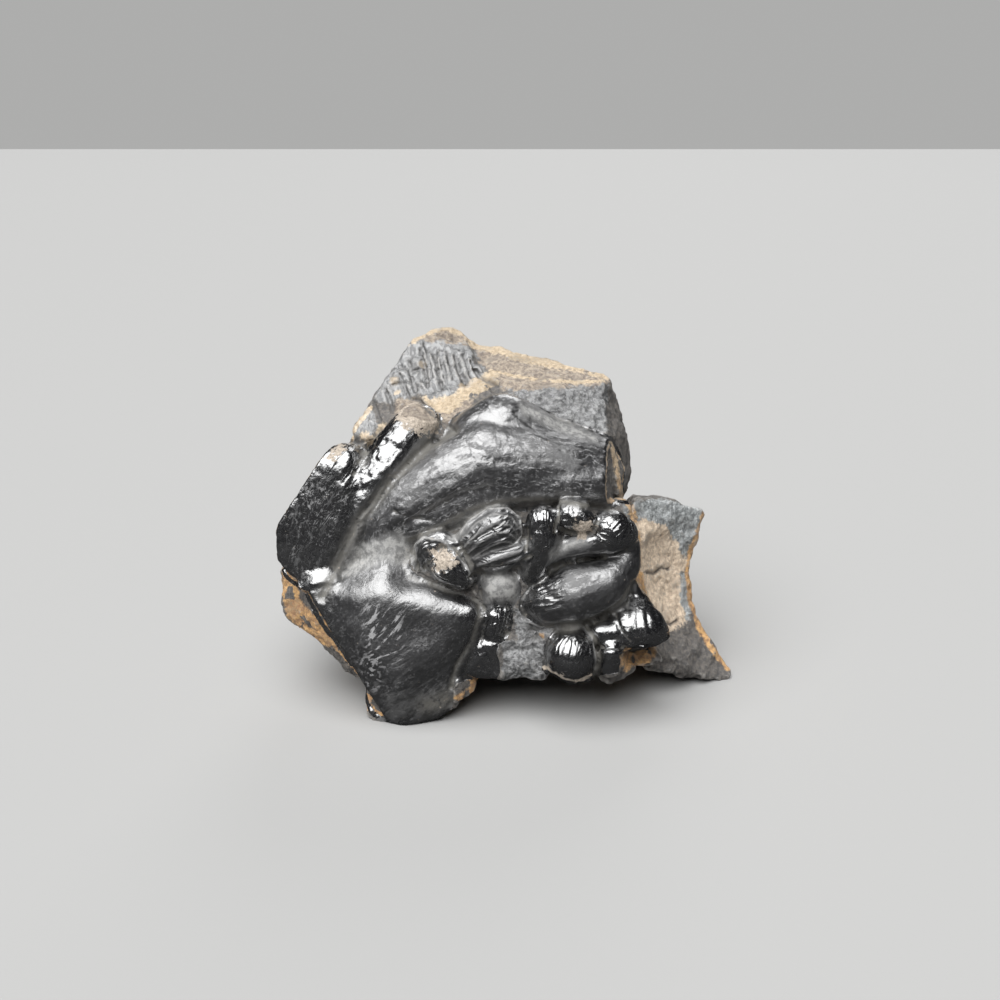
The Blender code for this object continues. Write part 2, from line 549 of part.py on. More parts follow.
def build():
    for old in list(bpy.data.objects):
        bpy.data.objects.remove(old)
    rock = make_rock()
    shoulder = make_folds("shoulder", SHOULDER, SHOULDER_WEBS, SHOULDER_CUTS, SOFT_SHOULDER)
    sheet = make_folds("sheet", SHEET, SHEET_WEBS, SHEET_CUTS, SOFT_SHEET)
    fingers = make_folds("fingers", FINGERS, FINGER_WEBS, [], SOFT_FINGERS)
    shell = make_folds("shell", SHELL, [], SHELL_CUTS, SOFT_FINGERS)
    break_stub(fingers)
    stone = join("hematite", [rock, shoulder, sheet, fingers, shell])
    fuse(stone, SOFT_FINGERS)
    press(stone)
    thin_out(stone, TRIANGLES)
    stand(stone)
    stone.data.materials.append(hematite_material())
    collection = bpy.data.collections.new("Rough hematite")
    bpy.context.scene.collection.children.link(collection)
    collection.objects.link(stone)
    bpy.context.scene.collection.objects.unlink(stone)


build()
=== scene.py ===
"""Rough hematite: a broken piece of botryoidal iron ore, dressed for the camera.

The stone is grown again from the same forms as its plain solid, on a finer grid, with the wrinkles,
striations and grain that the solid leaves out. Its masks are worked out from the shape, and from
outlines and lines on the face: where the glossy crust is whole, where it broke or is worn, where
ochre and dust lie, where shade is painted into the rock's hollows and cracks, and where a highlight
is painted pale on raised rims. One material reads them.

Forms are written on the stone's face, in millimetres: across (right), up (along the leaning face) and
out (towards the viewer).
"""

import math

import bmesh
import bpy
import numpy as np
from mathutils import Matrix, Vector, noise
from mathutils.bvhtree import BVHTree


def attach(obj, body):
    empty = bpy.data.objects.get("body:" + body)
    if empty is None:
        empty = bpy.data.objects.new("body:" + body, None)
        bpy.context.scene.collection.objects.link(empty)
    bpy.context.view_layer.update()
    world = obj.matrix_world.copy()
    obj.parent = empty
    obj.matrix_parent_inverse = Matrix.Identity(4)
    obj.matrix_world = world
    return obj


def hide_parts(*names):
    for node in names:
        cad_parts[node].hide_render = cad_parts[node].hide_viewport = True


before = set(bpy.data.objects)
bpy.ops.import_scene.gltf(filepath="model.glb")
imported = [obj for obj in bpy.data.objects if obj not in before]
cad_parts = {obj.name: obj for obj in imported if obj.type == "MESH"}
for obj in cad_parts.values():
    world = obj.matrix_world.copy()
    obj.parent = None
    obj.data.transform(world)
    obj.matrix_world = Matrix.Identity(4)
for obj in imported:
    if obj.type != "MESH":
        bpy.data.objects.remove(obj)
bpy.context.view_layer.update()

MM = 0.001
LEAN = math.radians(18)  # the face leans back this far from upright
VOXEL = 0.38  # grid on which the forms are fused
TRIANGLES = 190000  # the whole stone; its back is thinned out to keep to this
SMALL_BALL = 1.6  # balls up to this radius are corners of broken rock, and need few faces
FEW_FACES = 1  # how finely such a small ball is divided
MANY_FACES = 4  # and any other
SOFT_ROCK = 0.3  # over how many mm each kind of form is softened
SOFT_SHOULDER = 1.0
SOFT_SHEET = 1.6
SOFT_FINGERS = 0.4
CUT_REACH = 25.0  # a groove or dent works only on the face's own side, this deep at most
THINNING_STEPS = 4  # how the thinning grows from the front to the back
THINNING = 10  # how much stronger it is at the back
LOOKING_AWAY = (-0.3, 0.3)  # thinning ends where the surface looks out this far
THINNING_FADES = (-34, -24)  # and over this stretch, coming out of the stone
FRONT_FADES = (-30, -26)  # the face's marks fade in over this stretch
BACK_FADES = (-38, -30)  # the plain back's colours fade out over this one
FOLDS_FADE = (-9, -5)  # the wrinkles of the crust fade in over this one
CHIPS_FADE = (-9, -8)  # and its chips over this one
FAR = 1e9
SKIN = ((-0.75, -0.4), (0.35, 0.6))  # how deep under the whole crust's skin crust begins and ends
RIND = ((0.4, 0.7), (1.0, 1.8))  # how deep the ochre rind begins and ends where the crust broke off
HOLLOW_SPREAD = 1.2  # how widely the surface is smoothed, in square mm, to tell its small hollows
WIDE_HOLLOW_SPREAD = 16  # the same for its wide hollows
CRACK_DEPTH = 0.35  # fine lines deeper than this are cracks, painted dark as shade
EYE = (0.0, 45.6, 218.0)  # the camera, on the face
AIM = (0.0, 45.6, 0.0)
LENS = 39.24  # in mm, so 1090 px of focal length in the 1000 px frame
SENSOR = 36.0  # in mm
NEAREST = 0.01  # where its view begins, in metres

# Broken rock: across, up, out, radius of each ball
ROCK = {
    "block": [
        (-42, 40, -13, 1), (-42, 28, -13, 1), (-33, 17, -10, 1), (-26, 7, -8, 1), (-14, 9.4, -7, 1),
        (-3, 11, -6, 1), (26, 13, -8, 1), (27, 22, -11, 1), (25, 46, -13, 1), (22, 64, -12, 1),
        (-31, 57, -13, 1), (-12, 62, -11, 1), (-36, 50, -36, 2), (-38, 36, -38, 2), (-28, 22, -38, 2),
        (10, 22, -45, 2), (26, 28, -40, 2), (26, 50, -38, 2), (20, 66, -34, 2), (0, 70, -37, 2),
        (-20, 68, -36, 2), (-8, 45, -47, 3),
    ],
    "crest": [
        (-31.4, 59.8, -13, 0.5), (-26.6, 64.6, -14.5, 0.5), (-25.9, 68.2, -15, 0.5), (-22.4, 74, -18, 0.5),
        (-20, 79, -20, 0.5), (-17.4, 81.6, -22, 0.5), (-15.6, 79.3, -19, 0.5), (-7.3, 79.4, -22, 0.5),
        (-5.5, 75.6, -20, 0.5), (-3, 71, -15, 0.5), (-9.1, 65.5, -11.5, 0.5), (-14, 61, -9.5, 0.5),
        (-28, 58, -12, 1), (-26, 66, -36, 1), (-16, 78, -37, 1), (-7, 78, -38, 1),
    ],
    "back": [
        (-20, 77, -37, 1), (-6, 79.5, -38, 1), (14, 74, -37, 1), (24, 68, -34, 1), (-31, 63, -36, 1),
        (-10, 60, -45, 2), (12, 56, -45, 2), (-10, 76, -26, 1), (16, 70, -24, 1), (-30, 54, -30, 2),
        (-34, 54, -16, 1),
    ],
    "cap": [
        (-17.4, 81.4, -22.5, 0.5), (-14.9, 83.6, -25.5, 0.5), (-10.5, 83.8, -27.5, 0.5),
        (-7.9, 82.7, -28.5, 0.5), (-6, 80.8, -28, 0.5), (-6.4, 78.6, -24, 0.5), (-14, 80, -21.5, 0.5),
        (-15, 80, -36, 1), (-7, 78.5, -38, 1),
    ],
    "top": [
        (-5.8, 80.6, -28, 0.4), (0.3, 78.8, -29, 0.4), (4, 77, -29.5, 0.4), (9.7, 75.6, -29, 0.4),
        (16.9, 74.3, -26, 0.4), (24.2, 72, -18.5, 0.4), (-3.5, 70.5, -14.5, 0.4), (1.7, 68.3, -11, 0.4),
        (7.3, 67.4, -9, 0.4), (14.8, 68.6, -10.5, 0.4), (21.9, 69.8, -13.5, 0.4), (-5, 60, -10, 1),
        (21.5, 58, -8.5, 0.5), (17.5, 55, -7, 0.5), (9, 60, -7, 0.5), (-5, 62, -37, 1), (22, 60, -36, 1),
    ],
    "side": [
        (24.9, 68.9, -20, 0.4), (27.9, 60, -22, 0.4), (28.2, 53.5, -22, 0.4), (27.5, 47.8, -20, 0.4),
        (22.2, 69.2, -14, 0.4), (21.9, 60, -8.5, 0.4), (22.4, 53.5, -7.5, 0.4), (24.2, 47, -8, 0.4),
        (10, 50, -12, 1), (23, 66, -33, 1), (26, 46, -36, 1),
    ],
    "wing": [
        (28.8, 45.6, -13, 0.4), (37, 45, -20, 0.4), (45.4, 42.6, -26, 0.4), (44.6, 39.6, -26, 0.4),
        (43, 35, -25, 0.4), (41.7, 29.3, -24, 0.4), (30, 25, -12, 0.5), (27, 40, -12, 1), (31, 46, -38, 1),
        (39, 42, -39, 1), (40, 34, -42, 1), (38, 27, -42, 1), (28, 26, -42, 1),
    ],
    "wing foot": [
        (30, 29, -12, 0.5), (41.5, 29.3, -24, 0.4), (41.7, 23.6, -23, 0.4), (42.6, 19.4, -22, 0.4),
        (37, 14, -16, 0.5), (31, 13, -10.5, 0.5), (29.7, 17, -8, 0.5), (41, 29, -39, 1), (28, 30, -42, 1),
        (28, 15, -40, 1), (38, 18, -39, 1),
    ],
    "wing toe": [
        (42.4, 20.4, -22.5, 0.4), (45.2, 14.8, -21.8, 0.4), (48.6, 10.4, -21, 0.4), (51, 8.2, -20.5, 0.4),
        (49, 6.4, -20, 0.4), (39.2, 7.8, -16, 0.5), (30.7, 10.7, -10, 0.5), (30.4, 14.5, -8.6, 0.5),
        (46, 8.6, -30, 0.8), (40, 10, -32, 0.8), (40, 18, -36, 1), (28, 15, -38, 1),
    ],
    "back foot": [
        (-28, 26, -38, 1), (-8, 26, -44, 1), (-25, 13.4, -42.5, 0.8), (-13, 14.4, -45.5, 0.8),
        (-18, 15.2, -48.5, 0.8), (2, 22, -42, 1), (-18, 30, -30, 1), (-20, 20, -28, 1),
    ],
    "corner": [
        (-45.2, 31, -9, 0.4), (-45, 27, -9.5, 0.4), (-44.8, 22.8, -10.5, 0.4), (-43.2, 20.4, -10.5, 0.4),
        (-40.7, 18.8, -9.5, 0.4), (-35.6, 16.3, -8.5, 0.4), (-32.8, 13.2, -7.5, 0.4), (-29.3, 9, -6.5, 0.4),
        (-26, 12, -5, 0.5), (-30, 26, -4, 0.5), (-35, 28.5, -4, 0.4), (-39, 30, -4, 0.4),
        (-40, 24, -6, 0.4), (-40, 30, -30, 1), (-30, 16, -30, 1),
    ],
    "tip": [
        (-27.6, 8, -5, 0.4), (-26.9, 2.6, -4, 0.4), (-25, 0.2, -3, 0.4), (-20.9, -0.6, -2, 0.4),
        (-16.5, 0, -2, 0.4), (-12.1, 2, -2, 0.4), (-8.9, 4.4, -2, 0.4), (-8, 9, -2, 0.5),
        (-22, 2.6, -11, 0.8), (-15, 3.6, -12, 0.8), (-12, 12, -16, 1), (-28, 14, -16, 1),
    ],
    "splinter": [
        (-9, 5.2, -1, 0.4), (-5.2, 6.4, -3, 0.4), (-4.9, 9.4, -3, 0.4), (-5.5, 12.6, -1.5, 0.4),
        (-8.6, 13, 0.3, 0.4), (-9.4, 8, 0.5, 0.4), (-6, 9, -10, 1), (-12, 8, -10, 1),
    ],
    "saddle": [
        (-16, 66.5, -11.5, 1), (-10.5, 66.8, -11.5, 1), (-3.6, 70, -12.6, 1), (-8.5, 60.6, -6.4, 1),
        (-12.4, 62.6, -7.6, 1), (-12, 60, -5.4, 1), (-12.4, 58.2, -4.6, 1), (-1.6, 66.4, -10, 1),
        (-12, 62, -20, 2), (-1, 66, -20, 2),
    ],
    "low block": [
        (-7.4, 17.6, -1, 1), (-1, 18.4, 0.4, 1), (-0.2, 17.4, 1.2, 0.8), (-0.1, 10.6, 0, 0.8),
        (-6.2, 10.4, -1, 0.8), (-7, 14, 0.4, 0.8), (-3, 14, -8, 2),
    ],
    "grainy block": [
        (0.4, 16.6, 0.2, 0.8), (8.6, 16.6, -0.2, 0.8), (8.8, 10.2, -1.2, 0.8), (0.4, 10.2, -1.2, 0.8),
        (4.4, 12.6, 0.4, 1), (4.4, 13.6, -8, 2),
    ],
    "recess": [
        (23, 16, -3, 0.6), (31.6, 16, -5, 0.6), (33, 12.8, -6, 0.6), (28.4, 12, -5.6, 0.6),
        (22.6, 11.4, -4, 0.6), (28, 16, -14, 1),
    ],
    "lip": [
        (0.6, 17.4, 1, 0.8), (5, 17.2, 1.4, 0.8), (10, 17.8, 1.2, 0.8), (11.4, 19.2, 1, 0.8),
        (4, 19, 1, 0.8), (5, 17, -5, 2),
    ],
    "matrix": [
        (2.4, 23.4, 0.6, 0.6), (5.6, 25, 0.8, 0.6), (9.6, 23.6, 2, 0.6), (11.6, 20.8, 1.6, 0.6),
        (9, 18.4, 1.6, 0.6), (2, 18.2, 1, 0.6), (6, 21.6, 2.2, 0.6), (5, 21, -8, 2),
    ],
    "base": [
        (-5, 42, -4, 3), (24, 43, -6, 3), (25.5, 18, -3.5, 2.5), (24, 12, -5, 1.5), (-3, 12, -4, 1.5),
        (8, 26, -1.4, 3), (0, 30, -1.4, 3), (4, 18, -1.4, 2.5), (22, 28, -2.6, 3), (8, 38, -1.4, 3),
        (-9, 40.4, -2.4, 3.2), (-16.6, 31.6, -0.6, 3), (-11, 29.6, -0.4, 3), (-6, 28.6, -0.4, 3),
        (-4, 24, -2, 2.6), (18, 20, -1.6, 2.4), (18.6, 14, -1.4, 3), (18, 37, -1.6, 3), (-4, 34, -2.4, 3),
        (8, 43, -2, 3),
    ],
}

# Hollows broken out of the rock: across, up, out, radius of the ball that is pushed in
SCOOPS = [
    (56, 31, 2.5, 30.5), (58, 20, 0, 25), (-13, 96, 0, 26), (13, 86, 4, 21.5), (-26, 62, -67, 30),
    (8, 74, -70, 34), (36, 52, -64, 27), (-52, 44, -54, 24), (-6, 40, -86, 38), (24, 24, -76, 34),
    (-36, 12, -58, 23), (8, 2, -56, 26), (-62, 52, -30, 25), (-58, 22, -32, 18), (46, 62, -34, 20),
    (52, 26, -52, 20), (2, -8, -26, 23),
]

# The crust's rounded folds, one chain of balls each; webs are hulls around balls, which fill between them
SHOULDER = {
    "outer finger": [
        (-31, 52.8, -5.4, 4.6), (-33.5, 49.5, -8.4, 5.4), (-36.5, 43, -8.4, 6.2), (-37.8, 36.5, -8.4, 6.4),
        (-38.2, 31.5, -8, 5.4),
    ],
    "inner finger": [
        (-16.6, 61.6, -5, 4.4), (-19.6, 57.4, -4, 5), (-23.2, 51.3, -3.6, 5.8), (-27.2, 45.4, -4.2, 6.2),
        (-31, 39, -5.4, 6.6), (-34.5, 32.5, -6, 6),
    ],
}
SHOULDER_WEBS = [
    [
        (-31, 51.8, -2.4, 5), (-28.8, 50.2, -2.2, 4.2), (-44, 53, -1.6, 3), (-45.4, 38, -2.4, 3),
        (-45.4, 31, -4, 3), (-31, 43, -1.8, 3.6), (-33, 36.6, -2.4, 3.6), (-36, 32.6, -3.2, 3.4),
        (-36, 40, -10, 6), (-36, 34, -10, 5),
    ],
    [
        (-41.4, 32.2, -1.8, 1), (-34.6, 33.2, -1.4, 1), (-32.6, 29.4, 0.6, 1.2), (-40.2, 28.2, 0.2, 1),
        (-39, 26, -2, 1), (-33, 26, -1, 1.4), (-37, 26, -6, 2), (-36, 32, -8, 2),
    ],
]
SHEET = {
    "fold": [
        (-22.5, 41, -4, 6.3), (-18, 44.8, -3, 7), (-9.5, 49.6, -3, 8.6), (-2.5, 52.8, -3.5, 9.6),
        (4, 52, -4.4, 9.6), (12, 51.4, -5.4, 8.8), (18, 51.2, -7, 7.8), (24, 51, -8.4, 7.2),
    ],
    "hump": [(-4, 57.5, -5.4, 7.2), (0.5, 60, -6, 7.6), (9.8, 56, -7.4, 6.8), (18, 54, -9.4, 6)],
    "neck": [(-22.5, 41, -4, 6.3), (-22.6, 36, -4.6, 6.5), (-22.4, 30, -5, 6.4)],
    "skirt": [
        (-17, 41, -1.4, 4), (-11.6, 43.2, -0.6, 4.2), (-5.6, 46, -0.4, 4.4), (0.4, 48.2, -0.2, 4.6),
        (7, 49, -0.4, 4.6), (14, 49, -1, 4.6), (21, 48.6, -3, 4.6),
    ],
}
SHEET_WEBS = [
    [
        (-29, 24.6, -0.6, 5), (-35.4, 21.8, -2.4, 2.4), (-31.4, 15.2, -2.8, 2.4), (-24.2, 4, -3, 2.4),
        (-19, 1.4, -3, 2.6), (-12.4, 4.2, -3, 2.4), (-7.2, 14, -2, 2.6), (-5.6, 20.4, 0, 2.8),
        (-6.4, 22.4, 1.4, 3.6), (-13.7, 23.2, 0.4, 5.4), (-22.6, 26.2, 0, 6), (-18.6, 20, 0.8, 4.8),
        (-20, 12, 0, 4.6), (-25, 18, 0.2, 4.6),
    ],
    [
        (-40.4, 28, -0.8, 1.6), (-37.4, 22.4, -1.4, 1.6), (-34.4, 17, -1.8, 1.6), (-31, 27, 0.4, 2),
        (-29.6, 20, 0.8, 2), (-28, 14, 0.2, 2), (-34, 24, -8, 2),
    ],
    [
        (-22.4, 33.6, -5.2, 5.4), (-28.4, 30, -5, 4.2), (-29, 24.6, -0.6, 5), (-22.6, 26.2, 0, 6),
        (-17, 31, -3.6, 4.2),
    ],
]
FINGERS = {
    "hook": [
        (-15.3, 33.8, 1.5, 2.2), (-14.4, 36.7, 2.2, 2.3), (-11.6, 37.4, 2.8, 2.4), (-8.6, 35.8, 3.2, 2.4),
        (-6.6, 33, 2.6, 2), (-5.6, 30.4, 2.4, 1.6),
    ],
    "hook tip": [(-12.2, 34.1, 3, 2.6), (-10, 32.4, 4.2, 3.7), (-7.6, 30.8, 4, 2.9)],
    "wrinkled": [
        (-6.8, 36, 2.2, 3), (-3.8, 38.2, 3.2, 4.1), (-0.4, 40, 3.8, 4.3), (0.8, 40.6, 3.4, 3.6),
    ],
    "wrinkled foot": [
        (-5, 34.2, 2.8, 2.5), (-1, 34, 3.8, 2.9), (3, 35.2, 3.6, 2.9), (4.8, 36, 2.8, 2.4),
    ],
    "bulb": [(8.4, 41.2, 4.8, 3.4), (8.6, 37.8, 4.4, 3.3), (7.6, 34.4, 3.2, 3.1), (6.6, 31.6, 1.6, 2.6)],
    "stub": [(12.4, 42.5, 5, 2.5), (14.6, 42.6, 5.6, 2.8), (16.6, 41, 5.2, 2.5)],
    "stub crest": [(13, 44.3, 3.4, 1.7), (16.2, 44.3, 3, 1.7)],
    "stub root": [(12.6, 39.8, 2, 2.5), (16.4, 39.6, 2, 2.5)],
    "loop": [
        (9.6, 34.6, 1.8, 2.4), (12.4, 36, 2.6, 2.8), (15.8, 36.8, 3.1, 2.9), (19.4, 38, 3.4, 3.4),
        (21.6, 39.4, 3.2, 4.4), (24, 38.8, 1, 3.6),
    ],
    "thumb": [
        (25.4, 36.6, -1, 2.8), (24.6, 32.8, 0, 3.6), (20.8, 28.6, 1.2, 5.4), (15.2, 26.9, 1.9, 6),
        (10.2, 25.4, 1, 4.9), (6.8, 24.6, -0.4, 3.4),
    ],
    "knob": [
        (0, 28.4, 0.6, 4.1), (-0.2, 25.4, -0.6, 3.4), (-0.6, 22.4, 0.4, 3.2), (-1.2, 19.8, -0.2, 3),
    ],
    "glossy bead": [(14, 15, 2.8, 5), (14.4, 17, 1.6, 3.9)],
    "glossy lip": [
        (10.8, 12.6, 0, 2), (14.2, 11, 0.4, 2.2), (17.2, 11.3, 0.2, 2.1), (18.6, 13, -0.4, 2),
    ],
    "barrel": [(19.8, 19.2, 1.8, 2.5), (22.8, 19.4, 1.8, 2.4)],
    "small bead": [(22, 15.6, 3.4, 2.4), (21.8, 12.6, 2, 2.3), (22.6, 13, -2, 3)],
    "sliver": [(26.2, 29, -1.6, 1.4), (28, 25.8, -2, 1.6)],
    "ledge": [(21.8, 10.6, -0.6, 1.9), (26.4, 11.8, -3.6, 1.6)],
}
FINGER_WEBS = [
    [
        (-6, 16.4, -0.8, 1.8), (-1.7, 16.8, 0, 1.8), (-6, 11.8, -1.2, 1.8), (-1.6, 11.6, -0.8, 1.8),
        (-3.8, 14.4, 0.2, 1.8),
    ],
]
SHELL = {
    "shell": [(25.6, 19.6, -0.6, 5.2), (28, 19.4, -1, 5.6), (31.6, 17.8, -2, 3)],
    "shell root": [(27.6, 20, -0.8, 5.2), (27, 24.5, -4, 3.5)],
}

# Where the crust broke off: a point on the face, and the way the broken side looks
SHOULDER_CUTS = [
    ((-32, 60, -10), (-0.76, 0.6, -0.1)),
    ((-37.5, 51, -8), (-0.82, 0.55, 0.0)),
    ((-42.6, 45, -7), (-0.93, 0.36, 0.0)),
    ((-44.7, 36, -6), (-1.0, -0.02, 0.0)),
    ((-43.8, 32.2, -3), (-0.83, -0.555, 0.05)),
    ((-38, 26.2, -4), (-0.25, -0.95, 0.15)),
    ((-19, 62.8, -2.2), (-0.2, 0.8, 0.56)),
    ((-15.6, 62.2, -2), (0.35, 0.75, 0.55)),
    ((-17, 62.2, -0.6), (0.05, 0.6, 0.8)),
]
SHEET_CUTS = [
    ((22.6, 52, -6), (0.97, 0.03, 0.24)),
    ((-33.6, 19, -3), (-0.857, -0.515, 0.05)),
    ((-18, 0.4, -1), (0.1, -0.99, 0.0)),
    ((-10.4, 4.2, -1), (0.62, -0.78, 0.05)),
]
SHELL_CUTS = [
    ((28, 17.7, -1), (0.06, -0.95, -0.3)),
]
STUB_BREAK = ((17.2, 40, 7), (0.5, -0.7, 0.5), 2.6)  # the same for the stub, and how far its chip reaches

# Creases between the folds: width, depth, then the points along it
GROOVES = {
    "shoulder crease": (0.9, 0.5, [
        (-9.3, 59.6), (-14.4, 56.3), (-20.4, 50.8), (-24.2, 46), (-28, 41.4), (-30.6, 36.4), (-33.4, 30.6),
        (-35.4, 26.4),
    ]),
    "shoulder valley": (1.3, 0.9, [(-26.6, 57.6), (-27.6, 54), (-29, 51)]),
    "paddle rim": (0.6, 0.6, [
        (-17.2, 35.2), (-16.6, 31.8), (-13.6, 29.6), (-10.4, 28.4), (-6.4, 27.4), (-4.2, 25.6),
    ]),
    "paddle side": (0.6, 0.7, [(-4.2, 27.4), (-3.7, 23.2), (-5.2, 17.8), (-8.4, 12.8), (-9.8, 8)]),
    "hook ring": (0.5, 0.6, [(-15.2, 31.6), (-13.8, 34.2), (-11.4, 36.4), (-8.8, 36.2), (-6.6, 33.6)]),
    "fold roll": (0.8, 0.4, [(-19, 40.6), (-14, 43.2), (-8.2, 46.4), (-2.4, 48)]),
    "bead seam": (0.5, 0.5, [(17.2, 20.2), (18.6, 18.4), (19.3, 14.6), (19, 10.4)]),
    "under the wrinkled finger": (0.5, 1.0, [(-5.6, 30.6), (-3.6, 31.9), (0, 32.3), (4, 33), (5.6, 34.6)]),
    "wrinkled and bulb": (0.4, 0.5, [(5.8, 43.4), (5.2, 39.6), (5, 35.6)]),
    "bulb and stub": (0.4, 0.7, [(11.2, 44.6), (11.2, 41.4), (11, 39.4)]),
    "under the stub": (0.4, 0.5, [(11.6, 40), (13.4, 39.5), (15.4, 38.9), (18, 39.2), (19, 41.4)]),
    "hook and wrinkled": (0.45, 0.7, [(-7.8, 36.6), (-6.2, 34), (-5.2, 31.6)]),
    "bead barrel seam": (0.4, 0.5, [(19.4, 16.6), (22, 17), (24.6, 16.6)]),
    "barrel shell seam": (0.4, 0.4, [(22.9, 23), (23.3, 21), (24.2, 19.2), (25.6, 17.8)]),
    "thumb crease": (0.7, 0.8, [
        (5.6, 19.8), (10.4, 20.2), (15, 20.8), (20, 22.4), (24, 25.4), (26.4, 29),
    ]),
    "slit": (0.5, 0.6, [(9.6, 32), (13, 33.6), (16.8, 34.4), (20.6, 34.4)]),
}

# Shallow hollows: across, up, radius, depth
DENTS = [
    (-18, 30, 4.5, 0.9), (-16.4, 20, 4.5, 0.7), (6.6, 18.4, 2.2, 1.4), (-31, 24, 3, 0.8),
    (-22, 37, 3.5, 0.5), (4.6, 22, 2.6, 0.6), (28.5, 15, 3, 1.2), (-40.6, 29, 3, 0.9), (12.5, 60, 4, 0.5),
]

# Striations and cracks of the crest facet: width, depth, then the points along it
STRIAE = [
    (0.5, 1.0, [(-17.2, 78.4), (-15.4, 70)]),
    (0.35, 0.5, [(-15.9, 78), (-14.6, 72)]),
    (0.6, 1.2, [(-14.2, 77.6), (-12.4, 69.4)]),
    (0.35, 0.7, [(-12.8, 76.6), (-11.4, 70.6)]),
    (0.45, 0.6, [(-11.4, 78), (-9.8, 71.6)]),
    (0.55, 1.1, [(-9.6, 77), (-8.8, 73.4), (-7, 70)]),
    (0.4, 0.7, [(-7.8, 77), (-6, 72)]),
    (0.35, 0.5, [(-6.2, 75.6), (-4.6, 72)]),
    (0.5, 0.8, [(-19.8, 75.4), (-18, 69)]),
    (0.35, 0.6, [(-21.6, 72.6), (-19.4, 67.4)]),
    (0.5, 0.9, [(-24.6, 69.6), (-22.6, 64.4)]),
    (0.4, 0.6, [(-27, 66.6), (-25.4, 62.4)]),
    (0.4, 0.5, [(-21.6, 74.4), (-18.6, 73.4), (-15.8, 74.2)]),
    (0.35, 0.5, [(-23, 70.4), (-19.4, 70.8), (-16.6, 69.6)]),
]

# Where the crust has wrinkles along its folds, and where it is crumpled: outlines, as the camera sees them
FLOWING = {
    "folds": [
        (-42, 58), (-26, 58), (-12, 60), (-2, 66), (22, 58), (22, 44), (8, 45), (-10, 40), (-16, 36),
        (-30, 30), (-42, 32),
    ],
    "small fingers": [(-9, 34), (-8, 40), (-4, 45), (5, 45), (24, 46), (28, 34), (18, 31), (-2, 32)],
    "shell": [(22, 26), (31, 26), (34, 18), (24, 14)],
}
CRUMPLED = {
    "crumpled lump": [(-4, 25.4), (3, 25.4), (3, 17.4), (-4, 17.4)],
    "stub and bulb": [(5, 45), (18, 45), (18, 39), (10, 38), (5, 32)],
    "hook": [(-17, 33), (-15, 38.6), (-9, 39), (-5, 33), (-7, 28.6), (-12, 29)],
    "notch": [(-32, 58), (-24, 58), (-28, 49), (-33, 50)],
    "inner finger": [(-26, 60), (-18, 60), (-21, 52), (-31, 46), (-33, 50)],
}
# Where its skin is finely wrinkled, scratched, satin, streaked with grey, or smoother than elsewhere
WRINKLED = {
    "wrinkled finger": [
        (-8, 38), (-5, 43), (0, 44.6), (4.6, 42), (6, 36), (4, 32), (-3, 30.6), (-6, 33),
    ],
    "crumpled lump": CRUMPLED["crumpled lump"],
    "loop end": [(17, 42), (26, 42), (26, 36), (18, 37)],
    "hook": CRUMPLED["hook"],
    "stub and bulb": [(6, 44), (18, 44), (18, 39), (11, 38), (9, 36)],
    "thumb end": [(6, 27), (12, 30), (13, 24), (7, 22)],
    "notch": [(-33, 58), (-24, 58), (-28, 49), (-34, 50)],
}
LITTLE_WRINKLED = {
    "shell": [(23, 25), (30, 25), (34, 18), (24, 15)],
    "bead": [(10, 20), (18, 20), (18.6, 12), (10, 12)],
}
COMBED = {
    "paddle": [(-27.6, 24.6), (-19.4, 25.6), (-19.6, 12.6), (-26.8, 12)],
    "tail": [(-29, 15), (-25, 14), (-23.6, 7.6), (-27, 7.4)],
}
SATIN = {
    "wrinkled finger": [(-9, 38), (-5, 44), (0, 45), (4.8, 42), (6, 36), (4, 32), (-3, 30.6), (-6, 33)],
    "folds": [
        (-20, 52), (-12, 60), (-2, 66), (22, 58), (22, 44), (8, 45), (-8, 42), (-16, 36), (-17, 32),
        (-10, 27), (-9, 20), (-12, 4), (-26, 6), (-32, 20), (-34, 29), (-30, 38),
    ],
    "loop and thumb": [
        (9, 34), (18, 37), (22, 35), (28, 36), (28, 28), (22, 22), (12, 21), (8, 24), (12, 30),
    ],
}
STREAKY = {
    "shoulder": [(-43.4, 33), (-43, 42), (-36, 54), (-30, 54), (-26, 50), (-34, 38), (-38, 30)],
}
CALM = {
    "paddle": [(-34, 26), (-22, 33), (-6, 26), (-6, 18), (-14, 4), (-26, 4)],
    "thumb": [(10, 30), (22, 33), (27, 34), (24, 24), (14, 21)],
    "bead": [(9.6, 20), (18, 20), (18.6, 12), (10, 12)],
}

# Finer roughness of the broken rock: scale, height and kind
HACKLE = ((5.5, 1.5, "VORONOI"), (2.2, 0.55, "CLOUDS"), (0.9, 0.3, "CLOUDS"))

PADDLE_LAY = [(-28, 12, 0, 8), (-12, 24, 0, 8)]  # the way the paddle's streaks run
STROKE_LENGTH = 7  # how many times longer a scratch is than it is wide
BUMP_STRENGTH = 0.8
BUMP_HEIGHT = 0.0003  # in metres
STONE_IOR = 2.7  # high, as iron ore mirrors more than other stones
COAT_IOR = 2.0
COAT_ROUGHNESS = 0.16
FLOOR_REACH = 40.0  # half the floor's width, in metres
FLOOR_ROUGHNESS = 0.85

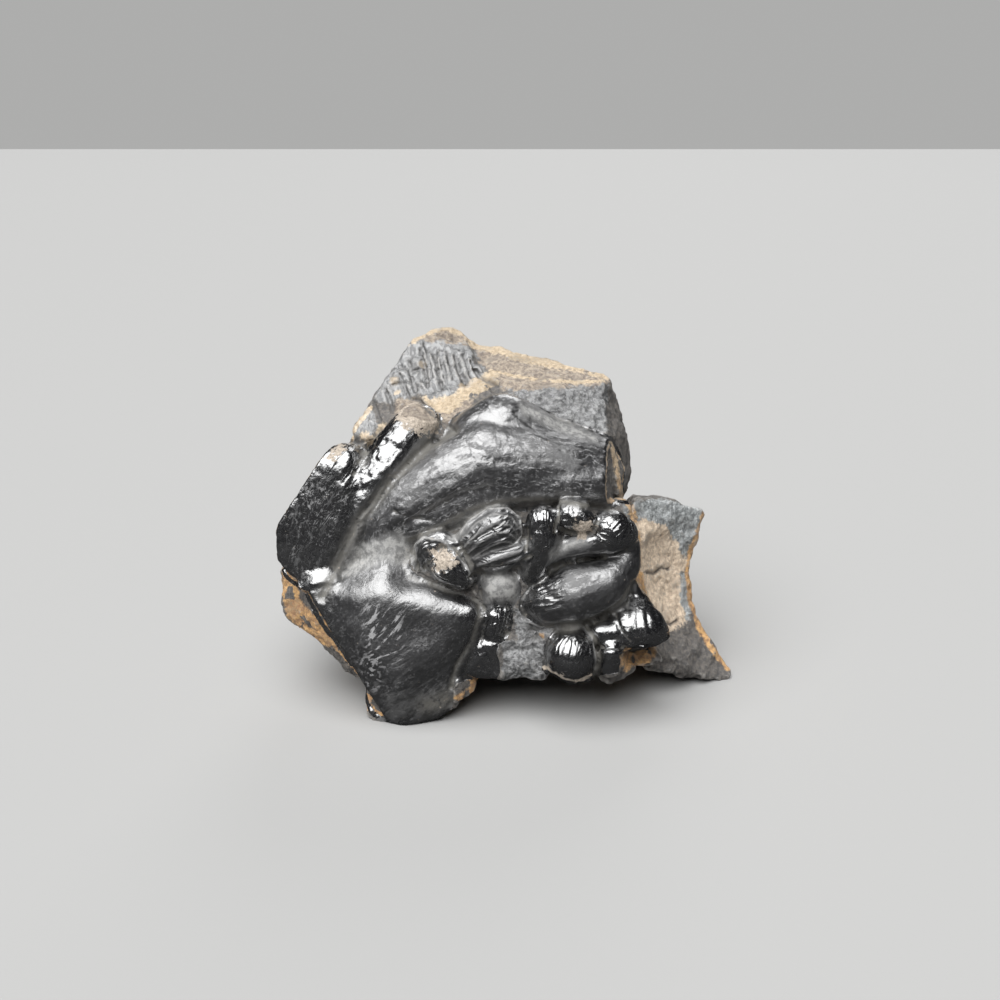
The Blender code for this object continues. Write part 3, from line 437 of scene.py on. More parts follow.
# Colours of the crust and what lies on it, of broken rock, and of the floor and sky; a pair is for mottling
BLACK = ((0.002, 0.002, 0.003), (0.009, 0.009, 0.01))
TAN = ((0.22, 0.17, 0.12), (0.56, 0.47, 0.37))
GREY_FILM = (0.33, 0.33, 0.335)
# Pale dust; on raised rims and wrinkle crests it is partly a painted highlight
PALE_DUST_AND_RIDGE_HIGHLIGHT = (0.36, 0.355, 0.34)
CREASE_DIRT = (0.08, 0.072, 0.054)
DARK_ROCK = ((0.018, 0.014, 0.011), (0.13, 0.108, 0.085))
ORANGE = ((0.34, 0.15, 0.035), (0.78, 0.44, 0.13))
STRAW = ((0.38, 0.27, 0.15), (0.66, 0.52, 0.34))
# Pale on the rock's ridges: partly rubbed edges, partly a painted glint
RUBBED_EDGE_AND_GLINT = (0.42, 0.4, 0.37)
STAIN = (0.06, 0.054, 0.048)
# Painted shade, darkening the broken rock's hollows and cracks
HOLLOW_AND_CRACK_SHADE = (0.03, 0.026, 0.022)
PALE = (0.42, 0.42, 0.415)
DIM = (0.02, 0.02, 0.02)  # what the floor is in the stone's own reflections
SKY = (0.014, 0.014, 0.015)
# In these the second is for the stone's right wing, paler: partly its own rock, partly painted light
DARK_BROWN = ((0.13, 0.09, 0.06), (0.5, 0.37, 0.25))
LIGHT_BROWN = ((0.44, 0.35, 0.25), (0.94, 0.76, 0.56))
DARK_GREY = ((0.04, 0.041, 0.042), (0.2, 0.215, 0.22))
LIGHT_GREY = ((0.29, 0.293, 0.295), (0.52, 0.55, 0.55))

# Large, far soft lights: where each one stands, seen from the stone, how wide it looks, and its strength
SOFT_LIGHTS = {
    "key light": ((-0.25, -0.42, 1.0), math.radians(70), 5.0),
    "back light": ((0.15, 0.9, 0.6), math.radians(30), 0.6),
}

# Finer forms than the solid has: width, depth (a ridge where it is negative), then the points along it
FINE_LINES = {
    "plate edge": (0.4, 0.5, [(-18.9, 67), (-17.2, 66.8), (-13.9, 63.4), (-9.4, 59.6)]),
    "facet crack": (0.5, 0.9, [(-5.2, 73.8), (-3.4, 71.6), (-0.6, 69.9)]),
    "fold wrinkle": (0.4, 0.2, [(3, 63), (6, 60.4), (10, 58), (14.4, 57.4)]),
    "neck wrinkle": (0.5, 0.3, [(-21, 43.4), (-17, 41.8), (-13.6, 41.6)]),
    "wing crack": (0.35, 0.6, [(33.4, 18.4), (35, 19.2), (37.2, 18.6), (38.8, 19.4)]),
    "upper wing crack": (0.35, 0.5, [(31, 30.2), (33.6, 29.6), (35.4, 30.8), (37, 30.4)]),
    "left facet edge": (0.4, 0.6, [(-33.2, 58.6), (-30, 57.6), (-27, 58.4), (-25, 60.4)]),
    "recess crack": (0.4, 0.5, [(23.8, 15), (26.4, 14.4), (28.8, 14.8)]),
    "hook rim": (0.35, -0.35, [
        (-16.8, 33.7), (-16.6, 36.7), (-14.9, 38.1), (-11.5, 37.7), (-8.9, 35.7), (-6.7, 33.1),
        (-5.5, 30.3),
    ]),
    "wrinkled rim": (0.3, -0.4, [
        (-8.2, 38), (-5.9, 41.4), (-2.4, 43.6), (1.4, 43.8), (3.7, 42), (4, 38.9), (3.4, 37.4),
    ]),
    "bead rim": (0.35, -0.35, [(10.4, 19.7), (12.8, 20.7), (16.3, 20.7), (18.1, 18.7), (19, 11.8)]),
    "paddle lip": (0.4, -0.3, [(-15.7, 31.9), (-13.7, 29.9), (-10.8, 28.1), (-4.9, 27.3)]),
    "crease line": (0.35, -0.3, [(-23, 48.2), (-25, 44.6), (-27.6, 41.6)]),
}

# Fans of wrinkles: how many, their width and depth, the first one and the last one
FANS = [
    (4, 0.4, -0.2, [(-7.6, 37.6), (-4.6, 41), (-1.2, 42.8), (2.2, 42.2), (3.6, 40)],
     [(-6, 33.8), (-3, 36), (0, 37.6), (1.6, 37.6), (2.6, 37)]),
    (3, 0.4, -0.2, [(-5, 34), (-2.2, 35.4), (1, 36.4), (3.6, 37)],
     [(-3.6, 31.6), (0, 32.4), (3.4, 33.8), (5.6, 34.8)]),
    (4, 0.35, 0.16, [(25.4, 24.2), (25, 21.6), (26.8, 17.6)], [(30.6, 23.4), (31.2, 20.6), (32.6, 17.8)]),
]

# Marks on the face: lines with a width, and spots with a radius, both in mm
OCHRE_LINES = {
    "crest top": (1.0, [(-19.6, 80), (-16.6, 82.6), (-12.6, 84), (-8.6, 83.4), (-5.8, 81)]),
    "top rim": (1.5, [(-5.6, 80.4), (0.3, 78.9), (4, 77.2), (9.7, 75.8), (16.9, 74.6), (23, 72.6)]),
    "lower band": (0.5, [(-0.5, 73.4), (4.3, 71.8), (10, 70.8), (17, 70.6), (22, 71)]),
    "crest band": (1.5, [
        (-16, 66.4), (-13.8, 65.8), (-10.4, 66.2), (-6, 68.4), (-2.8, 71.6), (-1.6, 72.6),
    ]),
    "left edge": (0.6, [
        (-43.8, 43.4), (-40.4, 49.8), (-37.2, 53.6), (-33.6, 57.4), (-30.8, 60.6), (-27.6, 65.2),
    ]),
    "low left edge": (0.8, [(-35.6, 18), (-32.4, 14.6), (-29, 10.6), (-27, 7.4), (-27, 3.6)]),
    "left notch": (1.3, [(-28.4, 59), (-26.6, 57.6), (-25.4, 58.8), (-24.6, 60.6)]),
    "wing edge": (0.9, [
        (45.6, 42.6), (44.4, 39), (42.8, 34.6), (41.8, 29.2), (42.2, 23.4), (44, 17.6), (46.6, 12.8),
        (50, 9),
    ]),
    "wing seam": (1.4, [(26, 46.6), (27.4, 43.6), (28.4, 38), (28.8, 32), (30, 26), (32, 21)]),
    "side seam": (0.8, [(23.6, 56), (24.4, 51), (25.4, 47)]),
    "splinter": (0.9, [(-8.8, 12.4), (-6.4, 11.4), (-5.2, 9), (-5.6, 6.8), (-8.4, 6)]),
    "shell base": (1.6, [(24, 14.2), (27.6, 14.6), (31, 14.8)]),
}
OCHRE_SPOTS = [
    (-16.8, 75, 1.0), (-22.6, 71.2, 1.1), (-21.8, 68.4, 0.9), (8.2, 18.6, 0.7), (25.6, 12, 1.1),
]

# Where the broken rock is grey, brown or ochre, and the crust worn, chipped off, dusty or matt
GREY = {
    "crest facet": [
        (-19, 75.6), (-17.6, 77.4), (-12, 77.4), (-6, 76.2), (-2.6, 70.8), (-6, 68.2), (-10.2, 66),
        (-13.2, 65.2), (-15.8, 67.2), (-19, 66.2), (-23, 65.2), (-25.2, 65.6), (-24.8, 67.4), (-21.4, 72.6),
    ],
    "dark facet": [(1, 68), (7, 67.6), (21.6, 68.8), (21.2, 57.6), (17.6, 55.6), (12, 59.2), (6, 64.6)],
    "wing top": [
        (24.4, 45.6), (33, 45.8), (41, 44), (40, 40.6), (38.6, 36.6), (37.6, 33.2), (35.6, 36.6),
        (33, 40.6), (29, 41.8), (25.2, 42),
    ],
    "wing strip": [(36.2, 30.6), (38.4, 30.6), (38.4, 22.6), (37.2, 21.2), (36, 25.6)],
    "grainy block": [(0.6, 17.4), (9.2, 17.8), (9.4, 9.2), (0.4, 9.2)],
    "finger gap": [(2.6, 24.6), (6, 23.4), (11, 20.4), (10, 17.8), (3, 18)],
    "left facet": [
        (-31, 63.6), (-25.6, 64.2), (-24.4, 60.6), (-26, 58.4), (-30, 59.2), (-32.4, 56.6), (-33.2, 57.6),
    ],
}
BROWN = {
    "cap": [(-17.6, 77.4), (-16, 79), (-11, 80.2), (-8, 79.2), (-5.2, 76.8), (-6, 76), (-12, 77.2)],
    "top facet": [
        (-6, 77.6), (0, 75.2), (12, 72.4), (22.2, 70.6), (21.6, 68.8), (12, 67.6), (1, 67.6), (-2, 71.2),
        (-4.4, 74),
    ],
    "wing matrix": [
        (25.6, 41.8), (29, 41.8), (33, 40.6), (36, 36), (38, 33), (36.2, 30.6), (36.2, 25.6), (37.2, 21.2),
        (33.6, 18.8), (31, 20), (29, 25.6), (27.6, 30.6), (26.4, 36.6),
    ],
    "saddle": [(-15, 64.6), (-8, 65.2), (-4.4, 66.4), (-8.8, 58.8), (-12, 60.6)],
}
OCHRE = {
    "crest corner": [(-8, 68.8), (-2.8, 71.2), (0, 69.2), (-3.6, 67.2), (-6, 66), (-9.6, 64.8)],
    "crest patch": [
        (-14.4, 66.4), (-12.8, 64.8), (-10, 65.6), (-7.6, 64.8), (-10, 62.8), (-13.2, 63.2),
    ],
    "corner": [
        (-43.6, 32.4), (-41.6, 30.6), (-40, 25.6), (-35.6, 21.2), (-33.2, 17.6), (-34, 16), (-39.6, 19.2),
        (-42.4, 22), (-43.6, 26.4),
    ],
    "recess": [(24, 15.8), (31.2, 15.6), (30, 13), (27.6, 12), (24.4, 13.6)],
}
WORN_LINES = {
    "bead fringe": (0.5, [(9, 12.2), (11.4, 11.4), (13.6, 10.2), (16.2, 10), (18.2, 11)]),
}
WORN = {
    "inner finger tip": [
        (-21.6, 63.6), (-20, 66), (-17.6, 66.4), (-15, 65), (-12, 61.4), (-12.4, 59), (-16, 58.8),
        (-19.4, 60.4),
    ],
    "hook": [
        (-14, 35.2), (-12, 36), (-9.8, 35.4), (-8.6, 33.4), (-9.8, 31.6), (-11.4, 31.8), (-12.8, 31),
        (-13.6, 32.8),
    ],
    "stub end": [(14.8, 41), (18.4, 41.6), (18.9, 39.2), (16.4, 37.8), (14.8, 39.2)],
    "outer finger top": [(-34.8, 54), (-32.4, 57), (-31, 57), (-31.8, 54.6), (-33.8, 53.4)],
}
CHIPPED = {
    "ledge": [(24.6, 15), (32, 15), (32, 9), (18.6, 8.6), (19, 10.4), (23.6, 11)],
}
DUSTY = {
    "knob": [(-4.2, 31.2), (4, 31.4), (4.2, 25), (-3.6, 24.8)],
    "neck": [
        (-29.6, 36.6), (-20, 40), (-16.4, 36.6), (-17.2, 32), (-23, 33), (-30, 29.6), (-32.4, 30.6),
    ],
    "sheath": [(-11.6, 36.6), (-8.4, 42), (-2.4, 45), (2.4, 45), (0, 44.2), (-4.6, 42), (-8, 37.4)],
    "fold edge": [(3, 66), (12, 62.6), (20, 58.6), (20, 56.4), (12, 59), (4, 62.4)],
    "loop band": [(12, 38), (17.6, 38.4), (18, 36.6), (14, 35.2), (9.6, 32.6), (9.6, 35.2)],
}
MATT = {
    "thumb middle": [(11.6, 33.6), (20.4, 35.6), (20.4, 28), (14, 24.6), (11.6, 27)],
    "fold foot": [(-21, 47), (-17, 54), (-13, 57), (-9, 55), (-12, 50), (-17, 44)],
    "fold right": [(2, 61), (14, 58), (17, 54), (17, 50), (6, 52), (2, 56)],
    "fold middle": [(-14, 57.6), (-2, 59), (8, 57), (8, 54.6), (-3, 54.6), (-13, 53)],
    "tail foot": [(-25, 9), (-16, 9), (-8, 11), (-8, 3), (-16, 1), (-24, 0)],
    "shell top": [(19.4, 21.4), (24, 26), (29, 25.6), (25, 22.4), (21, 20.8)],
}
DUST_LINES = {
    "shoulder crease": (1.1, GROOVES["shoulder crease"][2]),
    "under the fold": (0.6, [
        (-18, 37.6), (-12, 40.2), (-6, 43.6), (0, 45.4), (8, 45.8), (16, 44.6), (22, 44),
    ]),
    "paddle side": (0.5, GROOVES["paddle side"][2]),
    "paddle rim": (0.4, [
        (-17.2, 35.2), (-16.6, 31.8), (-13.6, 29), (-10.4, 27.6), (-6.4, 27.2), (-4.4, 25.6),
    ]),
    "thumb crease": (0.8, GROOVES["thumb crease"][2]),
    "bead seam": (0.4, GROOVES["bead seam"][2]),
    "tail corner": (1.8, [(-14.5, 4.6), (-10.6, 5.8)]),
}


def face_frame():
    """The matrix from the stone's face, in mm, to the world, in metres."""
    across = Vector((1, 0, 0))
    up = Vector((0, math.sin(LEAN), math.cos(LEAN)))
    out = Vector((0, -math.cos(LEAN), math.sin(LEAN)))
    turn = Matrix((across, up, out)).transposed().to_4x4()
    return turn @ Matrix.Scale(MM, 4)


FACE = face_frame()


def ball_hull(target, balls):
    """Add the hull around a few balls to a bmesh."""
    bm = bmesh.new()
    for across, up, out, radius in balls:
        level = FEW_FACES if radius <= SMALL_BALL else MANY_FACES
        place = Matrix.Translation((across, up, out))
        bmesh.ops.create_icosphere(bm, subdivisions=level, radius=radius, matrix=place)
    made = bmesh.ops.convex_hull(bm, input=bm.verts)
    inner = {part for part in made["geom_interior"] if isinstance(part, bmesh.types.BMVert)}
    bmesh.ops.delete(bm, geom=list(inner), context="VERTS")
    bmesh.ops.recalc_face_normals(bm, faces=bm.faces)
    mesh = bpy.data.meshes.new("hull")
    bm.to_mesh(mesh)
    bm.free()
    target.from_mesh(mesh)
    bpy.data.meshes.remove(mesh)


def chains(groups):
    """Each chain of balls as a bent, tapering finger."""
    bm = bmesh.new()
    for balls in groups.values():
        for first, second in zip(balls, balls[1:]):
            ball_hull(bm, [first, second])
    return bm


def as_object(name, bm):
    mesh = bpy.data.meshes.new(name)
    bm.to_mesh(mesh)
    bm.free()
    made = bpy.data.objects.new(name, mesh)
    bpy.context.scene.collection.objects.link(made)
    return made


def apply_modifiers(made):
    graph = bpy.context.evaluated_depsgraph_get()
    mesh = bpy.data.meshes.new_from_object(made.evaluated_get(graph))
    old = made.data
    made.modifiers.clear()
    made.data = mesh
    bpy.data.meshes.remove(old)


def fuse(made, soften):
    """Fuse overlapping hulls to one skin, and soften it over about that many mm."""
    remesh = made.modifiers.new("Fuse", "REMESH")
    remesh.mode = "VOXEL"
    remesh.voxel_size = VOXEL
    smooth = made.modifiers.new("Soften", "SMOOTH")
    smooth.factor = 0.5
    smooth.iterations = max(1, round(2 * (soften / VOXEL) ** 2))
    apply_modifiers(made)


def cut(made, planes, merge=0.0001):
    """Break the solid off along planes and close the breaks."""
    bm = bmesh.new()
    bm.from_mesh(made.data)
    for point, normal in planes:
        geom = bm.verts[:] + bm.edges[:] + bm.faces[:]
        split = bmesh.ops.bisect_plane(
            bm, geom=geom, dist=merge, plane_co=point, plane_no=normal, clear_outer=True)
        rim = [part for part in split["geom_cut"] if isinstance(part, bmesh.types.BMEdge)]
        bmesh.ops.holes_fill(bm, edges=rim, sides=0)
    bmesh.ops.triangulate(bm, faces=[face for face in bm.faces if len(face.verts) > 4])
    bm.to_mesh(made.data)
    bm.free()


def points_of(made, what="co"):
    found = np.empty(len(made.data.vertices) * 3)
    made.data.vertices.foreach_get(what, found)
    return found.reshape(-1, 3)


def normals_of(made):
    return points_of(made, "normal")


def move_points(made, points):
    made.data.vertices.foreach_set("co", points.ravel())
    made.data.update()


def scoop(made, balls):
    """Push the surface out of each ball, as a shell-like break leaves it."""
    points = points_of(made)
    for across, up, out, radius in balls:
        away = points - (across, up, out)
        reach = np.linalg.norm(away, axis=1)
        inside = reach < radius
        points[inside] += away[inside] * (radius / reach[inside] - 1)[:, None]
    move_points(made, points)


def hackle(made):
    """Roughen broken rock with cells and grain."""
    for scale, height, kind in HACKLE:
        texture = bpy.data.textures.new("Hackle " + kind.lower(), kind)
        texture.noise_scale = scale
        rough = made.modifiers.new("Hackle", "DISPLACE")
        rough.texture = texture
        rough.texture_coords = "LOCAL"
        rough.strength = height
        rough.mid_level = 0.5
    apply_modifiers(made)


def distance_to_line(points, line):
    """How far each point is from a bent line on the face."""
    nearest = np.full(len(points), FAR)
    flat = points[:, :2]
    for start, end in zip(line, line[1:]):
        start = np.array(start)
        along = np.array(end) - start
        share = np.clip((flat - start) @ along / (along @ along), 0, 1)
        nearest = np.minimum(nearest, np.linalg.norm(flat - start - share[:, None] * along, axis=1))
    return nearest


def step(low, high, value):
    """0 below low, 1 above high, smooth between them."""
    share = np.clip((value - low) / (high - low), 0, 1)
    return share * share * (3 - 2 * share)


def as_seen(points):
    """Where each point looks to be on the face, from the camera."""
    nearer = EYE[2] / (EYE[2] - points[:, 2])
    return np.array(EYE[:2]) + (points[:, :2] - EYE[:2]) * nearer[:, None]


def patch_mask(points, patches, soft):
    """1 inside the patches, 0 outside, with edges that soft."""
    flat = as_seen(points)
    mask = np.zeros(len(points))
    for outline in patches.values():
        edge = distance_to_line(flat, outline + outline[:1])
        crossings = np.zeros(len(points), int)
        for (left, low), (right, high) in zip(outline, outline[1:] + outline[:1]):
            between_ends = (flat[:, 1] > low) != (flat[:, 1] > high)
            level = high - low if high != low else 1.0
            crossing = left + (flat[:, 1] - low) * (right - left) / level
            crossings += between_ends & (flat[:, 0] < crossing)
        signed = np.where(crossings % 2 == 1, edge, -edge)
        mask = np.maximum(mask, step(-soft, soft, signed))
    return mask


def line_mask(points, lines):
    """1 on the lines, falling off over each one's width."""
    mask = np.zeros(len(points))
    for width, line in lines:
        mask = np.maximum(mask, np.exp(-(distance_to_line(points, line) / width) ** 2))
    return mask


def spot_mask(points, spots):
    """1 in the middle of each spot, falling off over its radius."""
    mask = np.zeros(len(points))
    for across, up, radius in spots:
        away = np.linalg.norm(points[:, :2] - (across, up), axis=1)
        mask = np.maximum(mask, np.exp(-(away / radius) ** 2))
    return mask


def grain(points, scale, octaves=3, seed=0.0):
    """Fractal noise at each point, about -1 to 1."""
    places = points / scale + seed
    return np.array([noise.fractal(place, 0.8, 2.1, octaves) for place in places.tolist()])


def sink_along(points, lines):
    """How deep each point lies under grooves, and how high on ridges (negative)."""
    sink = np.zeros(len(points))
    for width, depth, line in lines:
        pressed = depth * np.exp(-(distance_to_line(points, line) / width) ** 2)
        sink = np.where(np.abs(pressed) > np.abs(sink), pressed, sink)
    return sink


def fans():
    """The fans' wrinkles, each a line on its way from the first to the last."""
    wrinkles = []
    for count, width, depth, first, last in FANS:
        for turn in range(count):
            share = turn / (count - 1)
            line = [tuple(Vector(start).lerp(Vector(end), share)) for start, end in zip(first, last)]
            wrinkles.append((width, depth, line))
    return wrinkles


def press(made):
    """Press the creases, hollows, striations and fine wrinkles into the face."""
    points = points_of(made)
    normals = normals_of(made)
    near = (points[:, 2] > -CUT_REACH) & (normals[:, 2] > 0)
    sink = np.maximum(sink_along(points, GROOVES.values()), sink_along(points, STRIAE))
    for across, up, radius, depth in DENTS:
        away = np.linalg.norm(points[:, :2] - (across, up), axis=1)
        sink += depth * np.exp(-(away / radius) ** 2 * 1.5)
    for lines in (FINE_LINES.values(), fans()):
        sink += sink_along(points, lines)
    points -= normals * (sink * near)[:, None]
    move_points(made, points)


def join(name, pieces):
    bm = bmesh.new()
    for piece in pieces:
        bm.from_mesh(piece.data)
        bpy.data.objects.remove(piece)
    return as_object(name, bm)


def tree_of(made):
    """The surface of a piece, to be asked for the nearest point."""
    mesh = made.data
    corners = [tuple(face.vertices) for face in mesh.polygons]
    return BVHTree.FromPolygons([point.co for point in mesh.vertices], corners)


def make_rock():
    bm = bmesh.new()
    for balls in ROCK.values():
        ball_hull(bm, balls)
    rock = as_object("rock", bm)
    fuse(rock, SOFT_ROCK)
    scoop(rock, SCOOPS)
    fuse(rock, SOFT_ROCK)
    hackle(rock)
    return rock


def make_folds(name, groups, webs, planes, soften):
    """One sheet of crust: its chains and webs, softened, then broken off. Also its whole surface."""
    bm = chains(groups)
    for balls in webs:
        ball_hull(bm, balls)
    folds = as_object(name, bm)
    fuse(folds, soften)
    whole = tree_of(folds)
    cut(folds, planes)
    return folds, whole


def thin_out_back(made):
    """Fewer faces where the stone looks away from its front."""
    back = made.vertex_groups.new(name="back")
    outward = step(*LOOKING_AWAY, normals_of(made)[:, 2])
    share = 1 - outward * step(*THINNING_FADES, points_of(made)[:, 2])
    for level in range(1, THINNING_STEPS + 1):
        chosen = np.nonzero(np.ceil(share * THINNING_STEPS) == level)[0]
        back.add(chosen.tolist(), level / THINNING_STEPS, "REPLACE")
    made.data.calc_loop_triangles()
    thin = made.modifiers.new("Thin out", "DECIMATE")
    thin.ratio = TRIANGLES / len(made.data.loop_triangles)
    thin.vertex_group = back.name
    thin.vertex_group_factor = THINNING
    thin.use_collapse_triangulate = True
    apply_modifiers(made)


def break_stub(made):
    """Break the end off the short finger, a flat chip."""
    point, normal, radius = STUB_BREAK
    points = points_of(made)
    normal = Vector(normal).normalized()
    height = (points - point) @ np.array(normal)
    near = np.linalg.norm(points - point, axis=1) < radius
    points -= np.array(normal) * (np.clip(height, 0, None) * near)[:, None]
    move_points(made, points)


def depth_below(points, crusts, reach=3.0):
    """How deep each point lies inside the whole crust, in mm: about 0 on its skin, under 0 outside it."""
    deepest = np.full(len(points), -reach)
    for index, point in enumerate(points.tolist()):
        for crust in crusts:
            near, normal, _, away = crust.find_nearest(point, reach)
            if near is not None:
                side = -1 if normal.dot(Vector(point) - near) > 0 else 1
                if side * away > deepest[index]:
                    deepest[index] = side * away
    return deepest


def hollowness(made, spread):
    """How deep each point lies in a hollow (or, under 0, out on a ridge), in mm."""
    copy = bpy.data.objects.new("smoothed", made.data.copy())
    bpy.context.scene.collection.objects.link(copy)
    smooth = copy.modifiers.new("Smooth", "SMOOTH")
    smooth.factor = 0.5
    smooth.iterations = round(spread / VOXEL ** 2)
    apply_modifiers(copy)
    deep = np.einsum("ij,ij->i", points_of(copy) - points_of(made), normals_of(made))
    bpy.data.objects.remove(copy)
    return deep


def lay_of(points):
    """Along, across and out of the finger that each point is on, in mm, so that streaks follow it.

    Also how clearly it is on that one finger: 0 halfway to the next, where the streaks fade out.
    """
    best = np.full(len(points), FAR)
    next_best = np.full(len(points), FAR)
    lay = np.zeros((len(points), 3))
    start_at = 0.0
    for balls in (*SHOULDER.values(), *SHEET.values(), *FINGERS.values(), *SHELL.values(), PADDLE_LAY):
        others = best.copy()
        here = np.full(len(points), FAR)
        for first, second in zip(balls, balls[1:]):
            start = np.array(first[:3])
            along = np.array(second[:3]) - start
            length = np.linalg.norm(along)
            along = along / length
            share = np.clip((points - start) @ along / length, 0, 1)
            away = points - start - share[:, None] * along * length
            gap = np.linalg.norm(away, axis=1) - (first[3] + (second[3] - first[3]) * share)
            here = np.minimum(here, gap)
            nearer = gap < best
            best = np.where(nearer, gap, best)
            side = np.cross((0, 0, 1), along)
            side /= np.linalg.norm(side)
            found = np.stack((start_at + (points - start) @ along, away @ side, points[:, 2]), axis=1)
            lay[nearer] = found[nearer]
            start_at += length
        next_best = np.minimum(next_best, np.maximum(others, here))
    return lay, step(0, 2.0, next_best - best)


def wrinkle(made, crust, lay, clear):
    """Raise wrinkles along the crust's folds, crumple some of it, and leave the rock ragged."""
    points = points_of(made)
    normals = normals_of(made)
    front = step(*FOLDS_FADE, points[:, 2])
    flow = 0.05 + 0.13 * patch_mask(points, FLOWING, 1.5) * front
    flow = grain(lay * (0.22, 1, 0.7), 2.2, 2, 40.0) * flow
    crumple = 0.07 + 0.2 * patch_mask(points, CRUMPLED, 1.0) * front
    crumple = grain(points, 1.8, 3, 11.0) * crumple
    calm = 1 - 0.8 * patch_mask(points, CALM, 2.0)
    ragged = 0.3 * grain(points, 1.5, 4, 23.0)
    points += normals * ((flow * clear + crumple) * crust * calm + ragged * (1 - crust))[:, None]
    move_points(made, points)


def stand(made):
    """Set the stone on the floor, its feet ground flat, centred over its own box."""
    made.data.transform(FACE)
    cut(made, [((0, 0, 0), (0, 0, -1))], merge=1e-7)
    points = points_of(made)
    middle = (points.min(axis=0) + points.max(axis=0)) / 2
    made.data.transform(Matrix.Translation((-middle[0], -middle[1], 0)))
    return Vector((middle[0], middle[1], 0))


def keep_masks(made, masks):
    """Store each mask on the points, for the material to read."""
    for name, values in masks.items():
        kind = "FLOAT" if values.ndim == 1 else "FLOAT_VECTOR"
        layer = made.data.attributes.new(name, kind, "POINT")
        layer.data.foreach_set("value" if values.ndim == 1 else "vector", values.ravel())


def masks_of(points, depth, hollow):
    """What each point of the stone is like, for the material."""
    patchy = grain(points, 3.0)
    front = step(*FRONT_FADES, points[:, 2])
    back = 1 - step(*BACK_FADES, points[:, 2])
    rind = step(*RIND[0], depth) * (1 - step(*RIND[1], depth + 0.8 * patchy))
    ochre = np.maximum.reduce((
        rind, line_mask(points, OCHRE_LINES.values()), spot_mask(points, OCHRE_SPOTS),
        patch_mask(points, OCHRE, 0.8),
        0.8 * step(0.25, 0.6, grain(points, 9.0, 3, 7.0)) * back)) * step(-0.7, -0.4, patchy)
    worn = patch_mask(points, WORN, 2.0)
    worn = np.maximum(worn, 0.8 * line_mask(points, WORN_LINES.values())) * front
    # Raised rims and wrinkle crests take the pale dust, partly as a painted highlight along them
    ridges = [(width, line) for width, depth, line in FINE_LINES.values() if depth < 0]
    fanned = [(width, line) for width, depth, line in fans() if depth < 0]
    cracks = [(width, line) for width, depth, line in FINE_LINES.values() if depth > CRACK_DEPTH]
    cracks += [(0.8 * width, line) for width, _, line in STRIAE]
    off_paddle = 1 - 0.7 * patch_mask(points, {"paddle": CALM["paddle"]}, 2.0)
    fibrous = {name: GREY[name] for name in ("crest facet", "left facet")}
    return {
        "place": points,
        "hollow": hollow * (0.2 + 0.8 * front),
        "ochre": ochre * (1 - worn),
        "worn": worn,
        "brown": np.maximum.reduce((patch_mask(points, BROWN, 2.0), 0.5 * back, worn)),
        "grey": patch_mask(points, GREY, 1.6) * (1 - back),
        "crease dust": line_mask(points, DUST_LINES.values()) * front,
        "combed": patch_mask(points, COMBED, 1.5) * front,
        "satin": patch_mask(points, SATIN, 2.5) * front,
        "dust": np.maximum.reduce((
            patch_mask(points, DUSTY, 2.5), line_mask(points, ridges), 0.7 * line_mask(points, fanned),
            0.5 * patch_mask(points, MATT, 2.5))) * front,
        "cracked": line_mask(points, cracks) * front,
        "fibrous": patch_mask(points, fibrous, 1.0),
        "wrinkled": np.maximum(
            patch_mask(points, WRINKLED, 1.2), 0.6 * patch_mask(points, LITTLE_WRINKLED, 1.2)) * front,
        "veined": np.maximum(
            patch_mask(points, {"folds": SATIN["folds"]}, 3.0) * off_paddle,
            0.7 * patch_mask(points, STREAKY, 3.0)),
    }


def make_stone():
    """The dressed stone on the floor, and how far it was moved to stand centred."""
    rock = make_rock()
    shoulder, shoulder_skin = make_folds("shoulder", SHOULDER, SHOULDER_WEBS, SHOULDER_CUTS, SOFT_SHOULDER)
    sheet, sheet_skin = make_folds("sheet", SHEET, SHEET_WEBS, SHEET_CUTS, SOFT_SHEET)
    fingers, finger_skin = make_folds("fingers", FINGERS, FINGER_WEBS, [], SOFT_FINGERS)
    shell, shell_skin = make_folds("shell", SHELL, [], SHELL_CUTS, SOFT_FINGERS)
    break_stub(fingers)
    stone = join("stone", [rock, shoulder, sheet, fingers, shell])
    fuse(stone, SOFT_FINGERS)
    thin_out_back(stone)
    points = points_of(stone)
    depth = depth_below(points, (shoulder_skin, sheet_skin, finger_skin, shell_skin))
    crust = step(*SKIN[0], depth) * (1 - step(*SKIN[1], depth))
    crust *= 1 - patch_mask(points, CHIPPED, 0.5) * step(*CHIPS_FADE, points[:, 2])
    lay, clear = lay_of(points)
    wrinkle(stone, crust, lay, clear)
    press(stone)
    masks = masks_of(points, depth, hollowness(stone, HOLLOW_SPREAD))
    masks.update({
        "crust": crust, "lay": lay, "streaked": clear, "wide hollow": hollowness(stone, WIDE_HOLLOW_SPREAD),
    })
    keep_masks(stone, masks)
    middle = stand(stone)
    for face in stone.data.polygons:
        face.use_smooth = True
    stone.data.materials.append(stone_material())
    return stone, middle


# Materials


